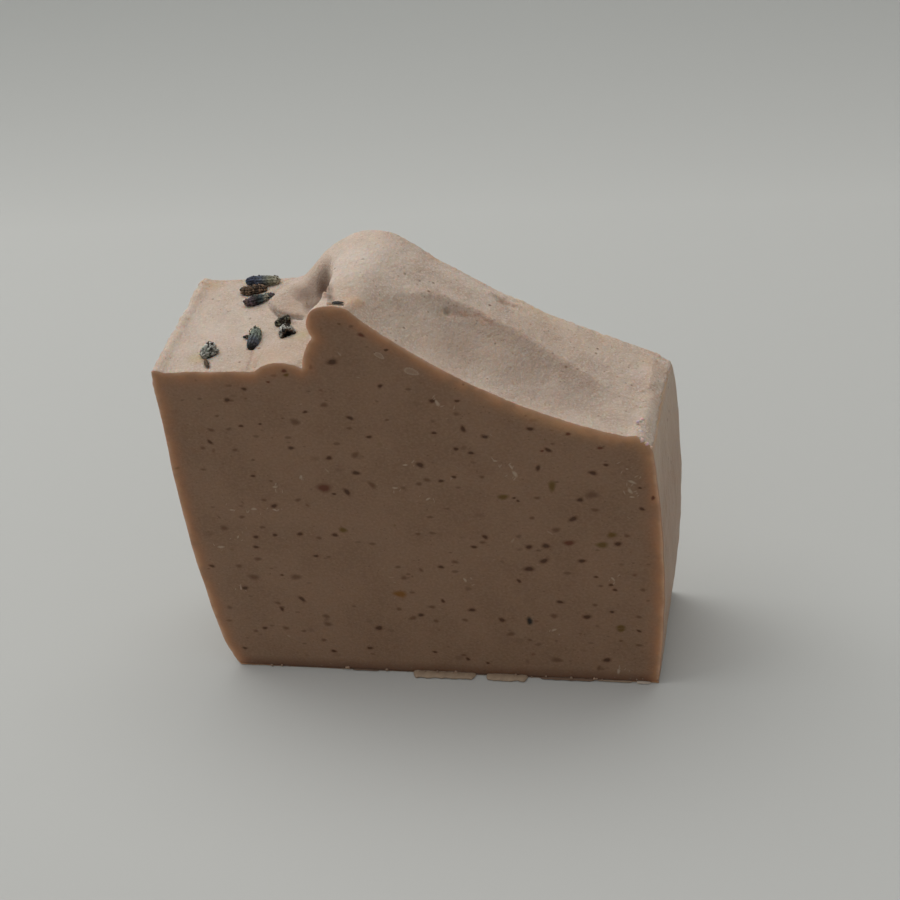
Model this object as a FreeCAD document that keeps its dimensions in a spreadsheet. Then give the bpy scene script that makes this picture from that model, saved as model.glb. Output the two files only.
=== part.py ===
"""A slice of handmade soap with dried lavender pressed into its poured top.

Millimetres, +Z up. The bar stands on its base at Z = 0, its length runs along X and its
thickness along Y, with the cut face that shows the wave's lip at the -Y side. X and Y are
zero at the middle of the bar with its burrs. Depths are measured back from that front face,
and reaches are measured from the top of the left wall towards +X.
"""

import FreeCAD, Part
import os
import Sketcher

# The whole bar
BAR_SIZES = (
    ("base_width", 76.0, "length of the foot, a three inch mould"),
    ("foot_trim", 0.2, "planed off under the foot, to stand flat"),
    ("thickness", 25.4, "the slice is cut one inch thick"),
    ("plateau_height", 60.9, "flat top at the front face, over the base"),
    ("plateau_climb", 4.3, "how much higher the flat top is at the back face"),
    ("left_flare", 1.6, "top of the left wall beyond the foot"),
    ("left_bulge", 3.35, "belly of the left wall beyond the foot"),
    ("left_belly_share", 0.48, "height of the left belly, as a share of the wall"),
    ("left_corner", 0.65, "rounding where the plateau meets the left wall"),
    ("left_corner_sag", 0.13, "roundness of that corner"),
    ("heel_height", 7.0, "where the left wall turns in to the foot"),
    ("heel_flare", 2.2, "left wall beyond the foot at the heel's height"),
    ("heel_sag", 0.35, "roundness of the heel"),
    ("right_belly_share", 0.56, "height of the right belly, as a share of the wall"),
    ("rim_width", 2.3, "rounded rim at the right end, along X"),
    ("rim_drop", 2.6, "rounded rim at the right end, along Z"),
    ("rim_sag", 0.55, "roundness of the right rim"),
    ("tongue_reach", 21.9, "middle of the spilled tongue of batter"),
    ("tongue_margin", 0.3, "edge of the tongue, from the back face"),
    ("tongue_length", 14.6, "tongue along X"),
    ("tongue_breadth", 12.2, "tongue along Y"),
    ("tongue_rise", 1.5, "tongue over the plateau"),
    ("burr_reach", 1.6, "burr flakes proud of the front face"),
    ("burr_thickness", 0.4, "thickness of a burr flake"),
    ("burr_root", 0.8, "how far a flake runs back into the foot"),
    ("burr_taper", 0.9, "how much shorter a flake is at its lip"),
    ("burr_sag", 0.3, "roundness of a flake's ends"),
    ("seat_clearance", 0.05, "between a pressed-in piece and its seat"),
)

# One column for each cross-section of the bar, from the front cut face to the back one
SECTIONS = ("front", "hollow", "fold", "back")
SECTION_SIZES = (
    ("depth", (0.0, 5.5, 13.5, 25.4), "from the front face"),
    ("plateau_end", (17.3, 17.6, 17.4, 15.6), "reach of the flat top at the left"),
    ("bump_swell", (1.25, 0.5, 0.15, -0.1), "low bump between plateau and wave"),
    ("foot_reach", (25.4, 25.3, 22.4, 18.6), "foot of the wave"),
    ("foot_rise", (0.45, 0.4, 0.5, 0.4), "foot of the wave over the plateau"),
    ("breast_swell", (0.42, -0.35, -0.5, -0.15), "swell of the wave's flank over its foot"),
    ("neck_reach", (28.0, 29.4, 26.2, 22.6), "neck under the lip"),
    ("neck_share", (0.52, 0.55, 0.55, 0.5), "height of the neck, as a share of the wave"),
    ("lip_swell", (0.82, -0.55, -0.3, 0.3), "swell of the lip, where minus is hollow"),
    ("shoulder_reach", (28.6, 29.5, 28.7, 27.2), "shoulder between lip and crest"),
    ("shoulder_drop", (0.8, 0.75, 0.9, 1.2), "shoulder under the crest"),
    ("crest_reach", (32.4, 32.6, 32.1, 31.2), "top of the wave"),
    ("crest_rise", (11.1, 10.52, 9.71, 8.3), "top of the wave over the plateau"),
    ("shed_reach", (35.1, 35.6, 36.4, 37.1), "where the long slope starts"),
    ("shed_drop", (1.2, 1.25, 1.4, 1.5), "start of the slope under the crest"),
    ("slope_sag", (3.0, 3.6, 1.9, 1.9), "hollow of the long slope"),
    ("rim_fall", (12.4, 13.23, 13.79, 15.3), "end of the slope under the plateau"),
    ("right_flare", (1.7, 1.9, 2.2, 2.6), "top of the right wall beyond the foot"),
    ("right_bulge", (2.3, 2.5, 2.8, 3.1), "belly of the right wall beyond the foot"),
)

# Burr flakes along the foot of the front face: middle and length, along X
BURRS = (
    ("left_burr", -1.6, 11.0),
    ("right_burr", 10.0, 7.0),
)

# Lavender: reach and depth of the middle, heading about the plateau's normal, length,
# radius of the belly, radii at the stalk and at the tip, and the axis over the plateau
LAVENDER_VALUES = (
    "reach", "depth", "heading", "length", "radius", "stalk_radius", "tip_radius", "lift",
)
CLOSED_BUDS = (
    ("rear_bud", (11.5, 24.1, 2.0, 6.2, 1.05, 0.6, 0.45, 0.5)),
    ("purple_bud", (12.3, 19.0, 29.0, 5.2, 0.85, 0.5, 0.2, 0.35)),
    ("centre_bud", (14.7, 8.3, 96.0, 5.6, 1.05, 0.6, 0.5, 0.3)),
    ("brown_calyx", (10.4, 21.75, 11.0, 4.4, 0.85, 0.45, 0.6, 0.25)),
)
OPEN_FLORETS = (
    ("upper_floret", (18.5, 12.3, 20.0, 2.5, 0.85, 0.45, 0.7, 0.35)),
    ("open_floret", (20.0, 9.75, -60.0, 2.7, 1.15, 0.55, 1.0, 0.45)),
    ("left_floret", (8.0, 4.6, 60.0, 2.6, 1.05, 0.4, 0.95, 0.45)),
)
RIB_SIZES = (
    ("rib_count", 8, "ribs round a bud or calyx"),
    ("furrow_depth", 0.16, "furrow between two ribs"),
    ("mouth_depth", 0.9, "hollow of an open floret"),
    ("mouth_wall", 0.28, "wall of an open floret at its mouth"),
    ("mouth_floor_share", 0.5, "floor of the hollow, as a share of its mouth"),
)

# Chips of stalk and leaf: reach, depth, heading, length, breadth, height, and the middle
# over the surface that carries them
CHIP_VALUES = ("reach", "depth", "heading", "length", "breadth", "height", "lift")
CHIPS = (
    ("centre_stem_chip", (13.1, 8.9, 20.0, 0.9, 0.5, 0.5, 0.1)),
    ("left_stem_chip", (8.7, 1.95, -58.0, 2.3, 0.7, 0.5, 0.1)),
)
SLIVER_SIZES = (
    ("sliver_past_crest", 0.6, "middle of the leaf sliver past the top of the wave"),
    ("sliver_depth", 1.1, "middle of the sliver, from the front face"),
    ("sliver_length", 1.8, "leaf sliver along X"),
    ("sliver_breadth", 1.0, "leaf sliver along Y"),
    ("sliver_height", 0.3, "thickness of the leaf sliver"),
    ("sliver_sink", 0.05, "middle of the sliver under the crest"),
)

ACROSS = "XZ_Plane"
FLOOR = "XY_Plane"
ALONG = "YZ_Plane"

# Rings that a bud is lofted through, from -1 at the stalk to 1 at the tip
RING_PLACES = (-1.0, -0.6, 0.0, 0.6, 1.0)


def make_sheet(doc):
    """Write every driving size into one sheet, with an alias for each."""
    rows = list(BAR_SIZES + RIB_SIZES + SLIVER_SIZES)
    for name, values, note in SECTION_SIZES:
        for section, value in zip(SECTIONS, values):
            if (section, name) == ("back", "depth"):
                continue
            rows.append((f"{section}_{name}", value, note))
    for name, middle, length in BURRS:
        rows += [(f"{name}_middle", middle, "along X"), (f"{name}_length", length, "along X")]
    for group, labels in ((CLOSED_BUDS + OPEN_FLORETS, LAVENDER_VALUES), (CHIPS, CHIP_VALUES)):
        for name, values in group:
            rows += [(f"{name}_{label}", v, "") for label, v in zip(labels, values)]
    sheet = doc.addObject("Spreadsheet::Sheet", "Sizes")
    for number, (alias, value, note) in enumerate(rows, start=1):
        sheet.set(f"A{number}", alias)
        sheet.set(f"B{number}", str(value))
        sheet.set(f"C{number}", note)
        sheet.setAlias(f"B{number}", alias)
    doc.recompute()
    return sheet


def cell(name):
    return f"Sizes.{name}"


# Places that several pieces share, each written once
FRONT_Y = f"({cell('burr_reach')} - {cell('thickness')}) / 2"
LEFT_X = f"-({cell('base_width')} / 2 + {cell('left_flare')})"
PLATEAU_TILT = f"atan({cell('plateau_climb')} / {cell('thickness')})"
TONGUE_DEPTH = f"({cell('thickness')} - {cell('tongue_breadth')} / 2 - {cell('tongue_margin')})"
LEVEL = "rotation(vector(1; 0; 0); 0)"


def depth_of(section):
    return cell("thickness") if section == "back" else cell(f"{section}_depth")


def plateau_at(depth):
    return f"({cell('plateau_height')} + {cell('plateau_climb')} * {depth} / {cell('thickness')})"


def crest_at(section):
    return f"({plateau_at(depth_of(section))} + {cell(f'{section}_crest_rise')})"


class Outline:
    """A closed chain of lines and three-point arcs in a sketch, tied to the sheet.

    Each point is a pair of expressions. The point is drawn where they put it, and its
    constraints keep the same expressions.
    """

    def __init__(self, sketch, start):
        self.sketch = sketch
        self.corner = start
        self.edges = []

    def place(self, point):
        x, y = (float(self.sketch.evalExpression(text)) for text in point)
        return FreeCAD.Vector(x, y, 0)

    def tie(self, edge, end, point):
        for kind, text in zip(("DistanceX", "DistanceY"), point):
            value = float(self.sketch.evalExpression(text))
            limit = Sketcher.Constraint(kind, -1, 1, edge, end, value)
            number = self.sketch.addConstraint(limit)
            self.sketch.setExpression(f"Constraints[{number}]", text)

    def add(self, geometry, corner, backward=False):
        edge = self.sketch.addGeometry(geometry, False)
        # A sketch numbers the start of an edge 1 and its end 2.
        ends = (2, 1) if backward else (1, 2)
        self.edges.append((edge, ends, self.corner))
        self.corner = corner
        return edge

    def line(self, end):
        self.add(Part.LineSegment(self.place(self.corner), self.place(end)), end)

    def arc(self, via, end):
        first, middle, last = (self.place(point) for point in (self.corner, via, end))
        # A sketch draws its arcs anticlockwise, so one that turns right runs backward.
        if (middle - first).cross(last - middle).z > 0:
            edge = self.add(Part.Arc(first, middle, last), end)
        else:
            edge = self.add(Part.Arc(last, middle, first), end, backward=True)
        mark = self.sketch.addGeometry(Part.Point(middle), True)
        self.tie(mark, 1, via)
        self.sketch.addConstraint(Sketcher.Constraint("PointOnObject", mark, 1, edge))

    def close(self):
        """Pin each corner and join there the two edges that meet in it."""
        for number, (edge, (start, _), corner) in enumerate(self.edges):
            previous, (_, end), _ = self.edges[number - 1]
            joint = Sketcher.Constraint("Coincident", previous, end, edge, start)
            self.sketch.addConstraint(joint)
            self.tie(edge, start, corner)


def trace(sketch, start, path):
    """Draw a closed outline from (end,) lines and (via, end) arcs."""
    outline = Outline(sketch, start)
    for *via, end in path:
        if via:
            outline.arc(*via, end)
        else:
            outline.line(end)
    outline.close()


def new_sketch(body, name, plane, offset):
    sketch = body.newObject("Sketcher::SketchObject", name)
    origin = next(f for f in body.Origin.OriginFeatures if f.Role == plane)
    sketch.AttachmentSupport = (origin, [""])
    sketch.MapMode = "FlatFace"
    sketch.setExpression("AttachmentOffset.Base.z", offset)
    return sketch


def swollen(start, end, swell):
    """The middle of two points, moved to the left of the way from start to end."""
    (x0, y0), (x1, y1) = start, end
    dx, dy = f"(({x1}) - ({x0}))", f"(({y1}) - ({y0}))"
    length = f"sqrt({dx} * {dx} + {dy} * {dy})"
    x = f"(({x0}) + ({x1})) / 2 - {dy} / {length} * ({swell})"
    y = f"(({y0}) + ({y1})) / 2 + {dx} / {length} * ({swell})"
    return x, y


def draw_cross_section(body, section):
    """The bar cut across: foot, right wall, rim, slope, crest, lip, wave, plateau, left wall."""

    def of(name):
        return cell(f"{section}_{name}")

    def reach(name):
        return f"{LEFT_X} + {of(name)}"

    half = f"{cell('base_width')} / 2"
    plateau = plateau_at(depth_of(section))
    crest = crest_at(section)
    wave = of("crest_rise")
    rim_top = f"({plateau} - {of('rim_fall')})"

    foot_left = (f"-{half}", f"-{cell('foot_trim')}")
    foot_right = (half, f"-{cell('foot_trim')}")
    belly_right = (f"{half} + {of('right_bulge')}", f"{rim_top} * {cell('right_belly_share')}")
    rim_low = (f"{half} + {of('right_flare')}", f"{rim_top} - {cell('rim_drop')}")
    rim_high = (f"{half} + {of('right_flare')} - {cell('rim_width')}", rim_top)
    shed = (reach("shed_reach"), f"{crest} - {of('shed_drop')}")
    summit = (reach("crest_reach"), crest)
    shoulder = (reach("shoulder_reach"), f"{crest} - {of('shoulder_drop')}")
    neck = (reach("neck_reach"), f"{plateau} + {wave} * {of('neck_share')}")
    wave_foot = (reach("foot_reach"), f"{plateau} + {of('foot_rise')}")
    plateau_end = (reach("plateau_end"), plateau)
    corner_high = (f"{LEFT_X} + {cell('left_corner')}", plateau)
    corner_low = (LEFT_X, f"{plateau} - {cell('left_corner')}")
    belly_left = (f"-{half} - {cell('left_bulge')}", f"{plateau} * {cell('left_belly_share')}")
    heel = (f"-{half} - {cell('heel_flare')}", cell("heel_height"))

    sketch = new_sketch(body, f"{section}_section", ACROSS, f"-({FRONT_Y} + {depth_of(section)})")
    trace(sketch, foot_left, (
        (foot_right,),
        (belly_right, rim_low),
        (swollen(rim_low, rim_high, f"-{cell('rim_sag')}"), rim_high),
        (swollen(rim_high, shed, of("slope_sag")), shed),
        (summit, shoulder),
        (swollen(shoulder, neck, f"-{of('lip_swell')}"), neck),
        (swollen(neck, wave_foot, f"-{of('breast_swell')}"), wave_foot),
        (swollen(wave_foot, plateau_end, f"-{of('bump_swell')}"), plateau_end),
        (corner_high,),
        (swollen(corner_high, corner_low, f"-{cell('left_corner_sag')}"), corner_low),
        (belly_left, heel),
        (swollen(heel, foot_left, f"-{cell('heel_sag')}"), foot_left),
    ))
    return sketch


def draw_burr(body, name):
    """A flake of soap that the cutter pressed out along the foot of the front face."""
    middle = cell(f"{name}_middle")
    half = f"{cell(f'{name}_length')} / 2"
    lip = f"{half} - {cell('burr_taper')}"
    root_y = f"{FRONT_Y} + {cell('burr_root')}"
    lip_y = f"{FRONT_Y} - {cell('burr_reach')}"
    root_left = (f"{middle} - {half}", root_y)
    root_right = (f"{middle} + {half}", root_y)
    lip_right = (f"{middle} + {lip}", lip_y)
    lip_left = (f"{middle} - {lip}", lip_y)
    sketch = new_sketch(body, f"{name}_outline", FLOOR, "0")
    trace(sketch, root_left, (
        (swollen(root_left, lip_left, f"-{cell('burr_sag')}"), lip_left),
        (lip_right,),
        (swollen(lip_right, root_right, f"-{cell('burr_sag')}"), root_right),
        (root_left,),
    ))
    burr = body.newObject("PartDesign::Pad", name)
    burr.Profile = sketch
    burr.setExpression("Length", cell("burr_thickness"))


def on_plateau(name):
    """Placement of a piece that lies on the sloping plateau, its own X along its length."""
    depth = cell(f"{name}_depth")
    lift = cell(f"{name}_lift")
    x = f"{LEFT_X} + {cell(f'{name}_reach')}"
    y = f"{FRONT_Y} + {depth} - {lift} * sin({PLATEAU_TILT})"
    z = f"{plateau_at(depth)} + {lift} * cos({PLATEAU_TILT})"
    tilt = f"rotation(vector(1; 0; 0); {PLATEAU_TILT})"
    turn = f"rotation(vector(0; 0; 1); {cell(f'{name}_heading')})"
    return f"placement(vector({x}; {y}; {z}); {tilt} * {turn})"


def ring_radius(name, place):
    """Radius over the ribs of a bud, from -1 at its stalk through its belly to 1 at its tip."""
    stalk, belly, tip = (cell(f"{name}_{part}") for part in ("stalk_radius", "radius", "tip_radius"))
    lean = f"({tip} - {stalk}) / 2 * {place}"
    fall = f"(({tip} + {stalk}) / 2 - {belly}) * {place * place}"
    return f"({belly} + {lean} + {fall})"


def turn_hollow(body, name, sketch):
    """Cut a sketch's round hollow, turned about the sketch's own X."""
    hollow = body.newObject("PartDesign::Groove", name)
    hollow.Profile = sketch
    hollow.ReferenceAxis = (sketch, ["H_Axis"])
    hollow.Angle = 360


def press_seat(body, name):
    """The dent that a bud or floret pressed into the soft batter."""
    spare = cell("seat_clearance")
    half = f"({cell(f'{name}_length')} / 2 + {spare})"
    path = [(f"{half} * {place}", f"{ring_radius(name, place)} + {spare}") for place in RING_PLACES]
    start, end = (f"-{half}", "0"), (half, "0")
    sketch = body.newObject("Sketcher::SketchObject", f"{name}_seat_outline")
    sketch.setExpression("Placement", on_plateau(name))
    trace(sketch, start, [(point,) for point in path + [end, start]])
    turn_hollow(body, f"{name}_seat", sketch)


def make_block(holder, kind, name, sizes, placement, spare="0"):
    """A square-cut chip, its middle at the placement, with some spare on every side."""
    add = holder.newObject if hasattr(holder, "newObject") else holder.addObject
    block = add(kind, name)
    sides = [f"({size} + 2 * {spare})" for size in sizes]
    for side, size in zip(("Length", "Width", "Height"), sides):
        block.setExpression(side, size)
    corner = "; ".join(f"-{size} / 2" for size in sides)
    block.setExpression("Placement", f"{placement} * placement(vector({corner}); {LEVEL})")
    return block


def chip_sizes(name):
    return [cell(f"{name}_{side}") for side in ("length", "breadth", "height")]


def on_crest():
    """Placement of the leaf sliver in the slit on the crest."""
    depth = cell("sliver_depth")
    climb = f"({crest_at('hollow')} - {crest_at('front')}) * {depth} / {cell('hollow_depth')}"
    reach = f"{cell('front_crest_reach')} + {cell('sliver_past_crest')}"
    height = f"{crest_at('front')} + {climb} - {cell('sliver_sink')}"
    return f"placement(vector({LEFT_X} + {reach}; {FRONT_Y} + {depth}; {height}); {LEVEL})"


def chips():
    """Name, sizes and placement of each chip of stalk or leaf."""
    listed = [(name, chip_sizes(name), on_plateau(name)) for name, _ in CHIPS]
    return listed + [("crest_sliver", chip_sizes("sliver"), on_crest())]


def add_tongue(body):
    """The tongue of batter that spilled over the plateau and lies against its slope."""
    tongue = body.newObject("PartDesign::AdditiveEllipsoid", "spilled_tongue")
    tongue.setExpression("Radius1", cell("tongue_rise"))
    tongue.setExpression("Radius2", f"{cell('tongue_length')} / 2")
    tongue.setExpression("Radius3", f"{cell('tongue_breadth')} / 2")
    x = f"{LEFT_X} + {cell('tongue_reach')}"
    middle = f"vector({x}; {FRONT_Y} + {TONGUE_DEPTH}; {plateau_at(TONGUE_DEPTH)})"
    tilt = f"rotation(vector(1; 0; 0); {PLATEAU_TILT})"
    tongue.setExpression("Placement", f"placement({middle}; {tilt})")


def make_bar(doc):
    """The slice: lofted front to back, with its spilled tongue, burr flakes and seats."""
    body = doc.addObject("PartDesign::Body", "soap_bar")
    sketches = [draw_cross_section(body, section) for section in SECTIONS]
    loft = body.newObject("PartDesign::AdditiveLoft", "poured_slice")
    loft.Profile = sketches[0]
    loft.Sections = sketches[1:]

    trim = body.newObject("PartDesign::SubtractiveBox", "flat_foot")
    trim.setExpression("Length", f"2 * {cell('base_width')}")
    trim.setExpression("Width", f"2 * {cell('thickness')}")
    trim.setExpression("Height", f"2 * {cell('foot_trim')}")
    corner = f"-{cell('base_width')}; -{cell('thickness')}; -2 * {cell('foot_trim')}"
    trim.setExpression("Placement", f"placement(vector({corner}); {LEVEL})")

    add_tongue(body)
    for name, _, _ in BURRS:
        draw_burr(body, name)
    for name, _ in CLOSED_BUDS + OPEN_FLORETS:
        press_seat(body, name)
    for name, sizes, placement in chips():
        spare = cell("seat_clearance")
        kind = "PartDesign::SubtractiveBox"
        make_block(body, kind, f"{name}_seat", sizes, placement, spare)
    return body


def draw_ring(body, name, place):
    """A star-shaped ring round a bud: ribs on the barrel's outline, furrows between them."""
    ribs = int(body.evalExpression(cell("rib_count")))
    points = []
    for number in range(2 * ribs):
        furrow = cell("furrow_depth") if number % 2 else "0"
        radius = f"({ring_radius(name, place)} - {furrow})"
        angle = 180 * number / ribs
        points.append((f"{radius} * cos({angle})", f"{radius} * sin({angle})"))
    number = RING_PLACES.index(place)
    sketch = new_sketch(body, f"{name}_ring_{number}", ALONG, f"{cell(f'{name}_length')} / 2 * {place}")
    trace(sketch, points[0], [(point,) for point in points[1:] + points[:1]])
    return sketch


def open_mouth(body, name):
    """Hollow the tip of a floret into an open cup."""
    half = f"{cell(f'{name}_length')} / 2"
    mouth = f"{cell(f'{name}_tip_radius')} - {cell('mouth_wall')}"
    floor = f"{half} - {cell('mouth_depth')}"
    sketch = new_sketch(body, f"{name}_mouth_outline", ACROSS, "0")
    trace(sketch, (floor, "0"), (
        ((half, "0"),),
        ((half, mouth),),
        ((floor, f"({mouth}) * {cell('mouth_floor_share')}"),),
        ((floor, "0"),),
    ))
    turn_hollow(body, f"{name}_mouth", sketch)


def make_bud(doc, name, is_open):
    """A dried lavender bud or calyx, ribbed from stalk to tip, along its own X."""
    body = doc.addObject("PartDesign::Body", name)
    rings = [draw_ring(body, name, place) for place in RING_PLACES]
    loft = body.newObject("PartDesign::AdditiveLoft", f"{name}_ribs")
    loft.Profile = rings[0]
    loft.Sections = rings[1:]
    loft.Ruled = True
    if is_open:
        open_mouth(body, name)
    body.setExpression("Placement", on_plateau(name))
    return body


def check(doc, pieces):
    for thing in doc.Objects:
        if "Invalid" in thing.State or "Error" in thing.State:
            raise RuntimeError(f"{thing.Label} failed: {thing.State}")
    for piece in pieces:
        shape = piece.Shape
        if shape.isNull() or not shape.isValid() or len(shape.Solids) != 1:
            raise RuntimeError(f"{piece.Label} is not one valid solid")


def main():
    doc = FreeCAD.newDocument("bar_of_soap")
    make_sheet(doc)
    pieces = [make_bar(doc)]
    pieces += [make_bud(doc, name, False) for name, _ in CLOSED_BUDS]
    pieces += [make_bud(doc, name, True) for name, _ in OPEN_FLORETS]
    pieces += [make_block(doc, "Part::Box", *chip) for chip in chips()]
    for piece in pieces:
        piece.Label = piece.Name
    doc.recompute()
    check(doc, pieces)
    os.makedirs("parts", exist_ok=True)
    for piece in pieces:
        piece.Shape.exportStep(f"parts/{piece.Label}.step")
        print(piece.Label, round(piece.Shape.Volume, 2), piece.Shape.BoundBox)


main()
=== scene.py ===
"""A slice of handmade soap with dried lavender on its poured top, dressed around its frame.

Everything is in metres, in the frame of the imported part. Shapes are worked out in
millimetres, in numpy, and scaled when they become meshes. The front cut face looks along -Y.
"""

import math
import random

import bpy
import numpy as np
from mathutils import Matrix, Vector, noise
from mathutils.bvhtree import BVHTree
from mathutils.geometry import delaunay_2d_cdt

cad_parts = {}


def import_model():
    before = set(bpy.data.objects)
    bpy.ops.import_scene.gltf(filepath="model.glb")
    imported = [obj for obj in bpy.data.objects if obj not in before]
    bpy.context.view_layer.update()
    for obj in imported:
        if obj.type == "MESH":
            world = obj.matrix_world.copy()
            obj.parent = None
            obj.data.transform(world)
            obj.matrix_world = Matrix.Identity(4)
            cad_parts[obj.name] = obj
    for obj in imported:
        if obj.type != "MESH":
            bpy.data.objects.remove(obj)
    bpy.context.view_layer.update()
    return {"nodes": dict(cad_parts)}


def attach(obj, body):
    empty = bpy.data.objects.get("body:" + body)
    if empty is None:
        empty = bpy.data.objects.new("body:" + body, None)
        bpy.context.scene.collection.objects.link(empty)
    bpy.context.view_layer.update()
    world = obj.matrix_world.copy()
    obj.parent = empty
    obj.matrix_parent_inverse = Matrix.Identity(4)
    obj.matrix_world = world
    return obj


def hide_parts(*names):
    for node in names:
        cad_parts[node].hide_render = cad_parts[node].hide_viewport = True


MM = 0.001

# The camera, as the photograph was taken
CAMERA_PLACE = (0.063365, -0.193112, 0.159694)
CAMERA_YAW = 17.06
CAMERA_PITCH = 30.86
CAMERA_ROLL = -8.73
CAMERA_LENS = 56.0
SENSOR = 36.0
PHOTO_SIDE = 900

# A point inside the bar that sees its whole outline, in X and Z
HUB = (5.0, 45.0)

# Above these heights lie the poured top, its bead at the right end, and the left plateau
TOP_FROM = 46.0
RIM_FROM = 44.0
PLATEAU_FROM = 60.0
# The moulded walls begin at these places in X
LEFT_WALL = -39.9
RIGHT_WALL = 39.0

# How far apart the points of the bar's skin are: on top, on the walls, under the foot, and
# from front to back
TOP_STEP = 0.26
WALL_STEP = 0.55
FOOT_STEP = 1.1
DEPTH_STEP = 0.3
CAP_STEP = 1.3
EDGE_RADIUS = 0.14
# How many directions are tried to space the points, and how often the skin is softened
ANGLES_TRIED = 6001
SOFTENING = 14
# Corners that this would move further than the first distance begin to stay sharp
SHARP_FROM = 0.05
SHARP_FULLY = 0.16


def lerp(a, b, share):
    return a + (b - a) * share


def smoothstep(low, high, value):
    share = np.clip((value - low) / (high - low), 0.0, 1.0)
    return share * share * (3.0 - 2.0 * share)


def bell(distance, width):
    return np.exp(-((distance / width) ** 2))


def near(place, middle, spread):
    """1 at a middle, falling off round it. The place is given by two or three coordinates."""
    return np.exp(-sum((c - m) ** 2 for c, m in zip(place, middle)) / spread)


def cloud(points, scale, seed=0.0):
    """Soft random values from about -1 to 1, one for each point, with a grain of scale mm."""
    shift = Vector((seed, seed * 1.7, seed * 0.6))
    return np.array([noise.fractal(Vector(p) / scale + shift, 1.0, 2.0, 2) for p in points])


# Camera

def make_camera():
    data = bpy.data.cameras.new("camera")
    data.lens = CAMERA_LENS
    data.sensor_width = SENSOR
    data.clip_start = 0.01
    camera = bpy.data.objects.new("camera", data)
    turn = Matrix.Rotation(math.radians(CAMERA_YAW), 4, "Z")
    turn = turn @ Matrix.Rotation(math.radians(90.0 - CAMERA_PITCH), 4, "X")
    turn = turn @ Matrix.Rotation(math.radians(CAMERA_ROLL), 4, "Z")
    camera.matrix_world = Matrix.Translation(CAMERA_PLACE) @ turn
    bpy.context.scene.collection.objects.link(camera)
    bpy.context.scene.camera = camera
    return camera


def seen_on_face(camera, pixel_x, pixel_y, face_y):
    """X and Z in mm of the point of the front face that a pixel of the photograph shows."""
    reach = CAMERA_LENS / SENSOR * PHOTO_SIDE
    half = PHOTO_SIDE / 2
    ray = Vector(((pixel_x - half) / reach, (half - pixel_y) / reach, -1.0))
    ray = camera.matrix_world.to_3x3() @ ray
    start = camera.matrix_world.translation
    hit = start + ray * ((face_y * MM - start.y) / ray.y)
    return hit.x / MM, hit.z / MM


# The bar's skin, read from the solid by rays

class Solid:
    """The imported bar, asked for its outline at any depth."""

    def __init__(self, node):
        mesh = node.data
        corners = [v.co / MM for v in mesh.vertices]
        self.tree = BVHTree.FromPolygons(corners, [p.vertices for p in mesh.polygons])
        self.front = self.hit((HUB[0], -50.0, HUB[1]), (0, 1, 0)).y
        self.back = self.hit((HUB[0], 50.0, HUB[1]), (0, -1, 0)).y

    def hit(self, start, way):
        return self.tree.ray_cast(Vector(start), Vector(way))[0]

    def outline(self, y, angles):
        inside = 0.01
        y = min(max(y, self.front + inside), self.back - inside)
        hub = (HUB[0], y, HUB[1])
        found = [self.hit(hub, (math.cos(a), 0, math.sin(a))) for a in angles]
        return np.array([(p.x, p.z) for p in found])


def spread_angles(solid):
    """Directions from the hub that sample the outline finely on top and coarsely below."""
    angles = np.linspace(-math.pi / 2, 1.5 * math.pi, ANGLES_TRIED)
    length = np.zeros(len(angles) - 1)
    depths = np.linspace(solid.front, solid.back, 5)
    for y in depths:
        ring = solid.outline(y, angles)
        step = np.linalg.norm(np.diff(ring, axis=0), axis=1)
        middle = (ring[1:] + ring[:-1]) / 2
        pace = np.full(len(step), WALL_STEP)
        pace[middle[:, 1] < 0.5] = FOOT_STEP
        on_top = middle[:, 1] > TOP_FROM
        pace[on_top & (middle[:, 0] > LEFT_WALL)] = TOP_STEP
        pace[on_top & (middle[:, 0] > RIGHT_WALL)] = WALL_STEP
        length += step / pace / len(depths)
    total = np.concatenate([[0.0], np.cumsum(length)])
    count = int(total[-1])
    return np.interp(np.linspace(0.0, total[-1], count, endpoint=False), total, angles)


def blur(grid, passes):
    """Soften a ring-by-ring grid of points along the rings and from ring to ring."""
    for _ in range(passes):
        grid = grid / 2 + (np.roll(grid, 1, axis=1) + np.roll(grid, -1, axis=1)) / 4
        inner = (grid[:-2] + grid[2:]) / 4 + grid[1:-1] / 2
        grid = np.concatenate([grid[:1], inner, grid[-1:]])
    return grid


def read_skin(solid):
    """Rings of points round the bar from the front edge to the back, without the facets."""
    angles = spread_angles(solid)
    count = round((solid.back - solid.front) / DEPTH_STEP)
    depths = np.linspace(solid.front, solid.back, count + 1)
    rings = np.array([solid.outline(y, angles) for y in depths])
    soft = blur(rings, SOFTENING)
    off = np.linalg.norm(soft - rings, axis=2, keepdims=True)
    rings = lerp(soft, rings, smoothstep(SHARP_FROM, SHARP_FULLY, off))
    grid = np.empty(rings.shape[:2] + (3,))
    grid[..., 0] = rings[..., 0]
    grid[..., 1] = depths[:, None]
    grid[..., 2] = rings[..., 1]
    return grid


def skin_normals(grid):
    round_way = np.roll(grid, -1, axis=1) - np.roll(grid, 1, axis=1)
    back_way = np.gradient(grid, axis=0)
    normal = np.cross(back_way, round_way)
    return normal / np.linalg.norm(normal, axis=2, keepdims=True)


# Shape of the poured top, in mm

# The fold that runs down the long slope: X and Y of its crest, from the lip to the right rim
FOLD = ((-4.4, -6.9), (0.2, -0.8), (4.0, 2.5), (9.9, 3.6), (17.6, 3.2), (24.1, 1.3), (28.9, -0.2),
        (36.0, -1.6))


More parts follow.
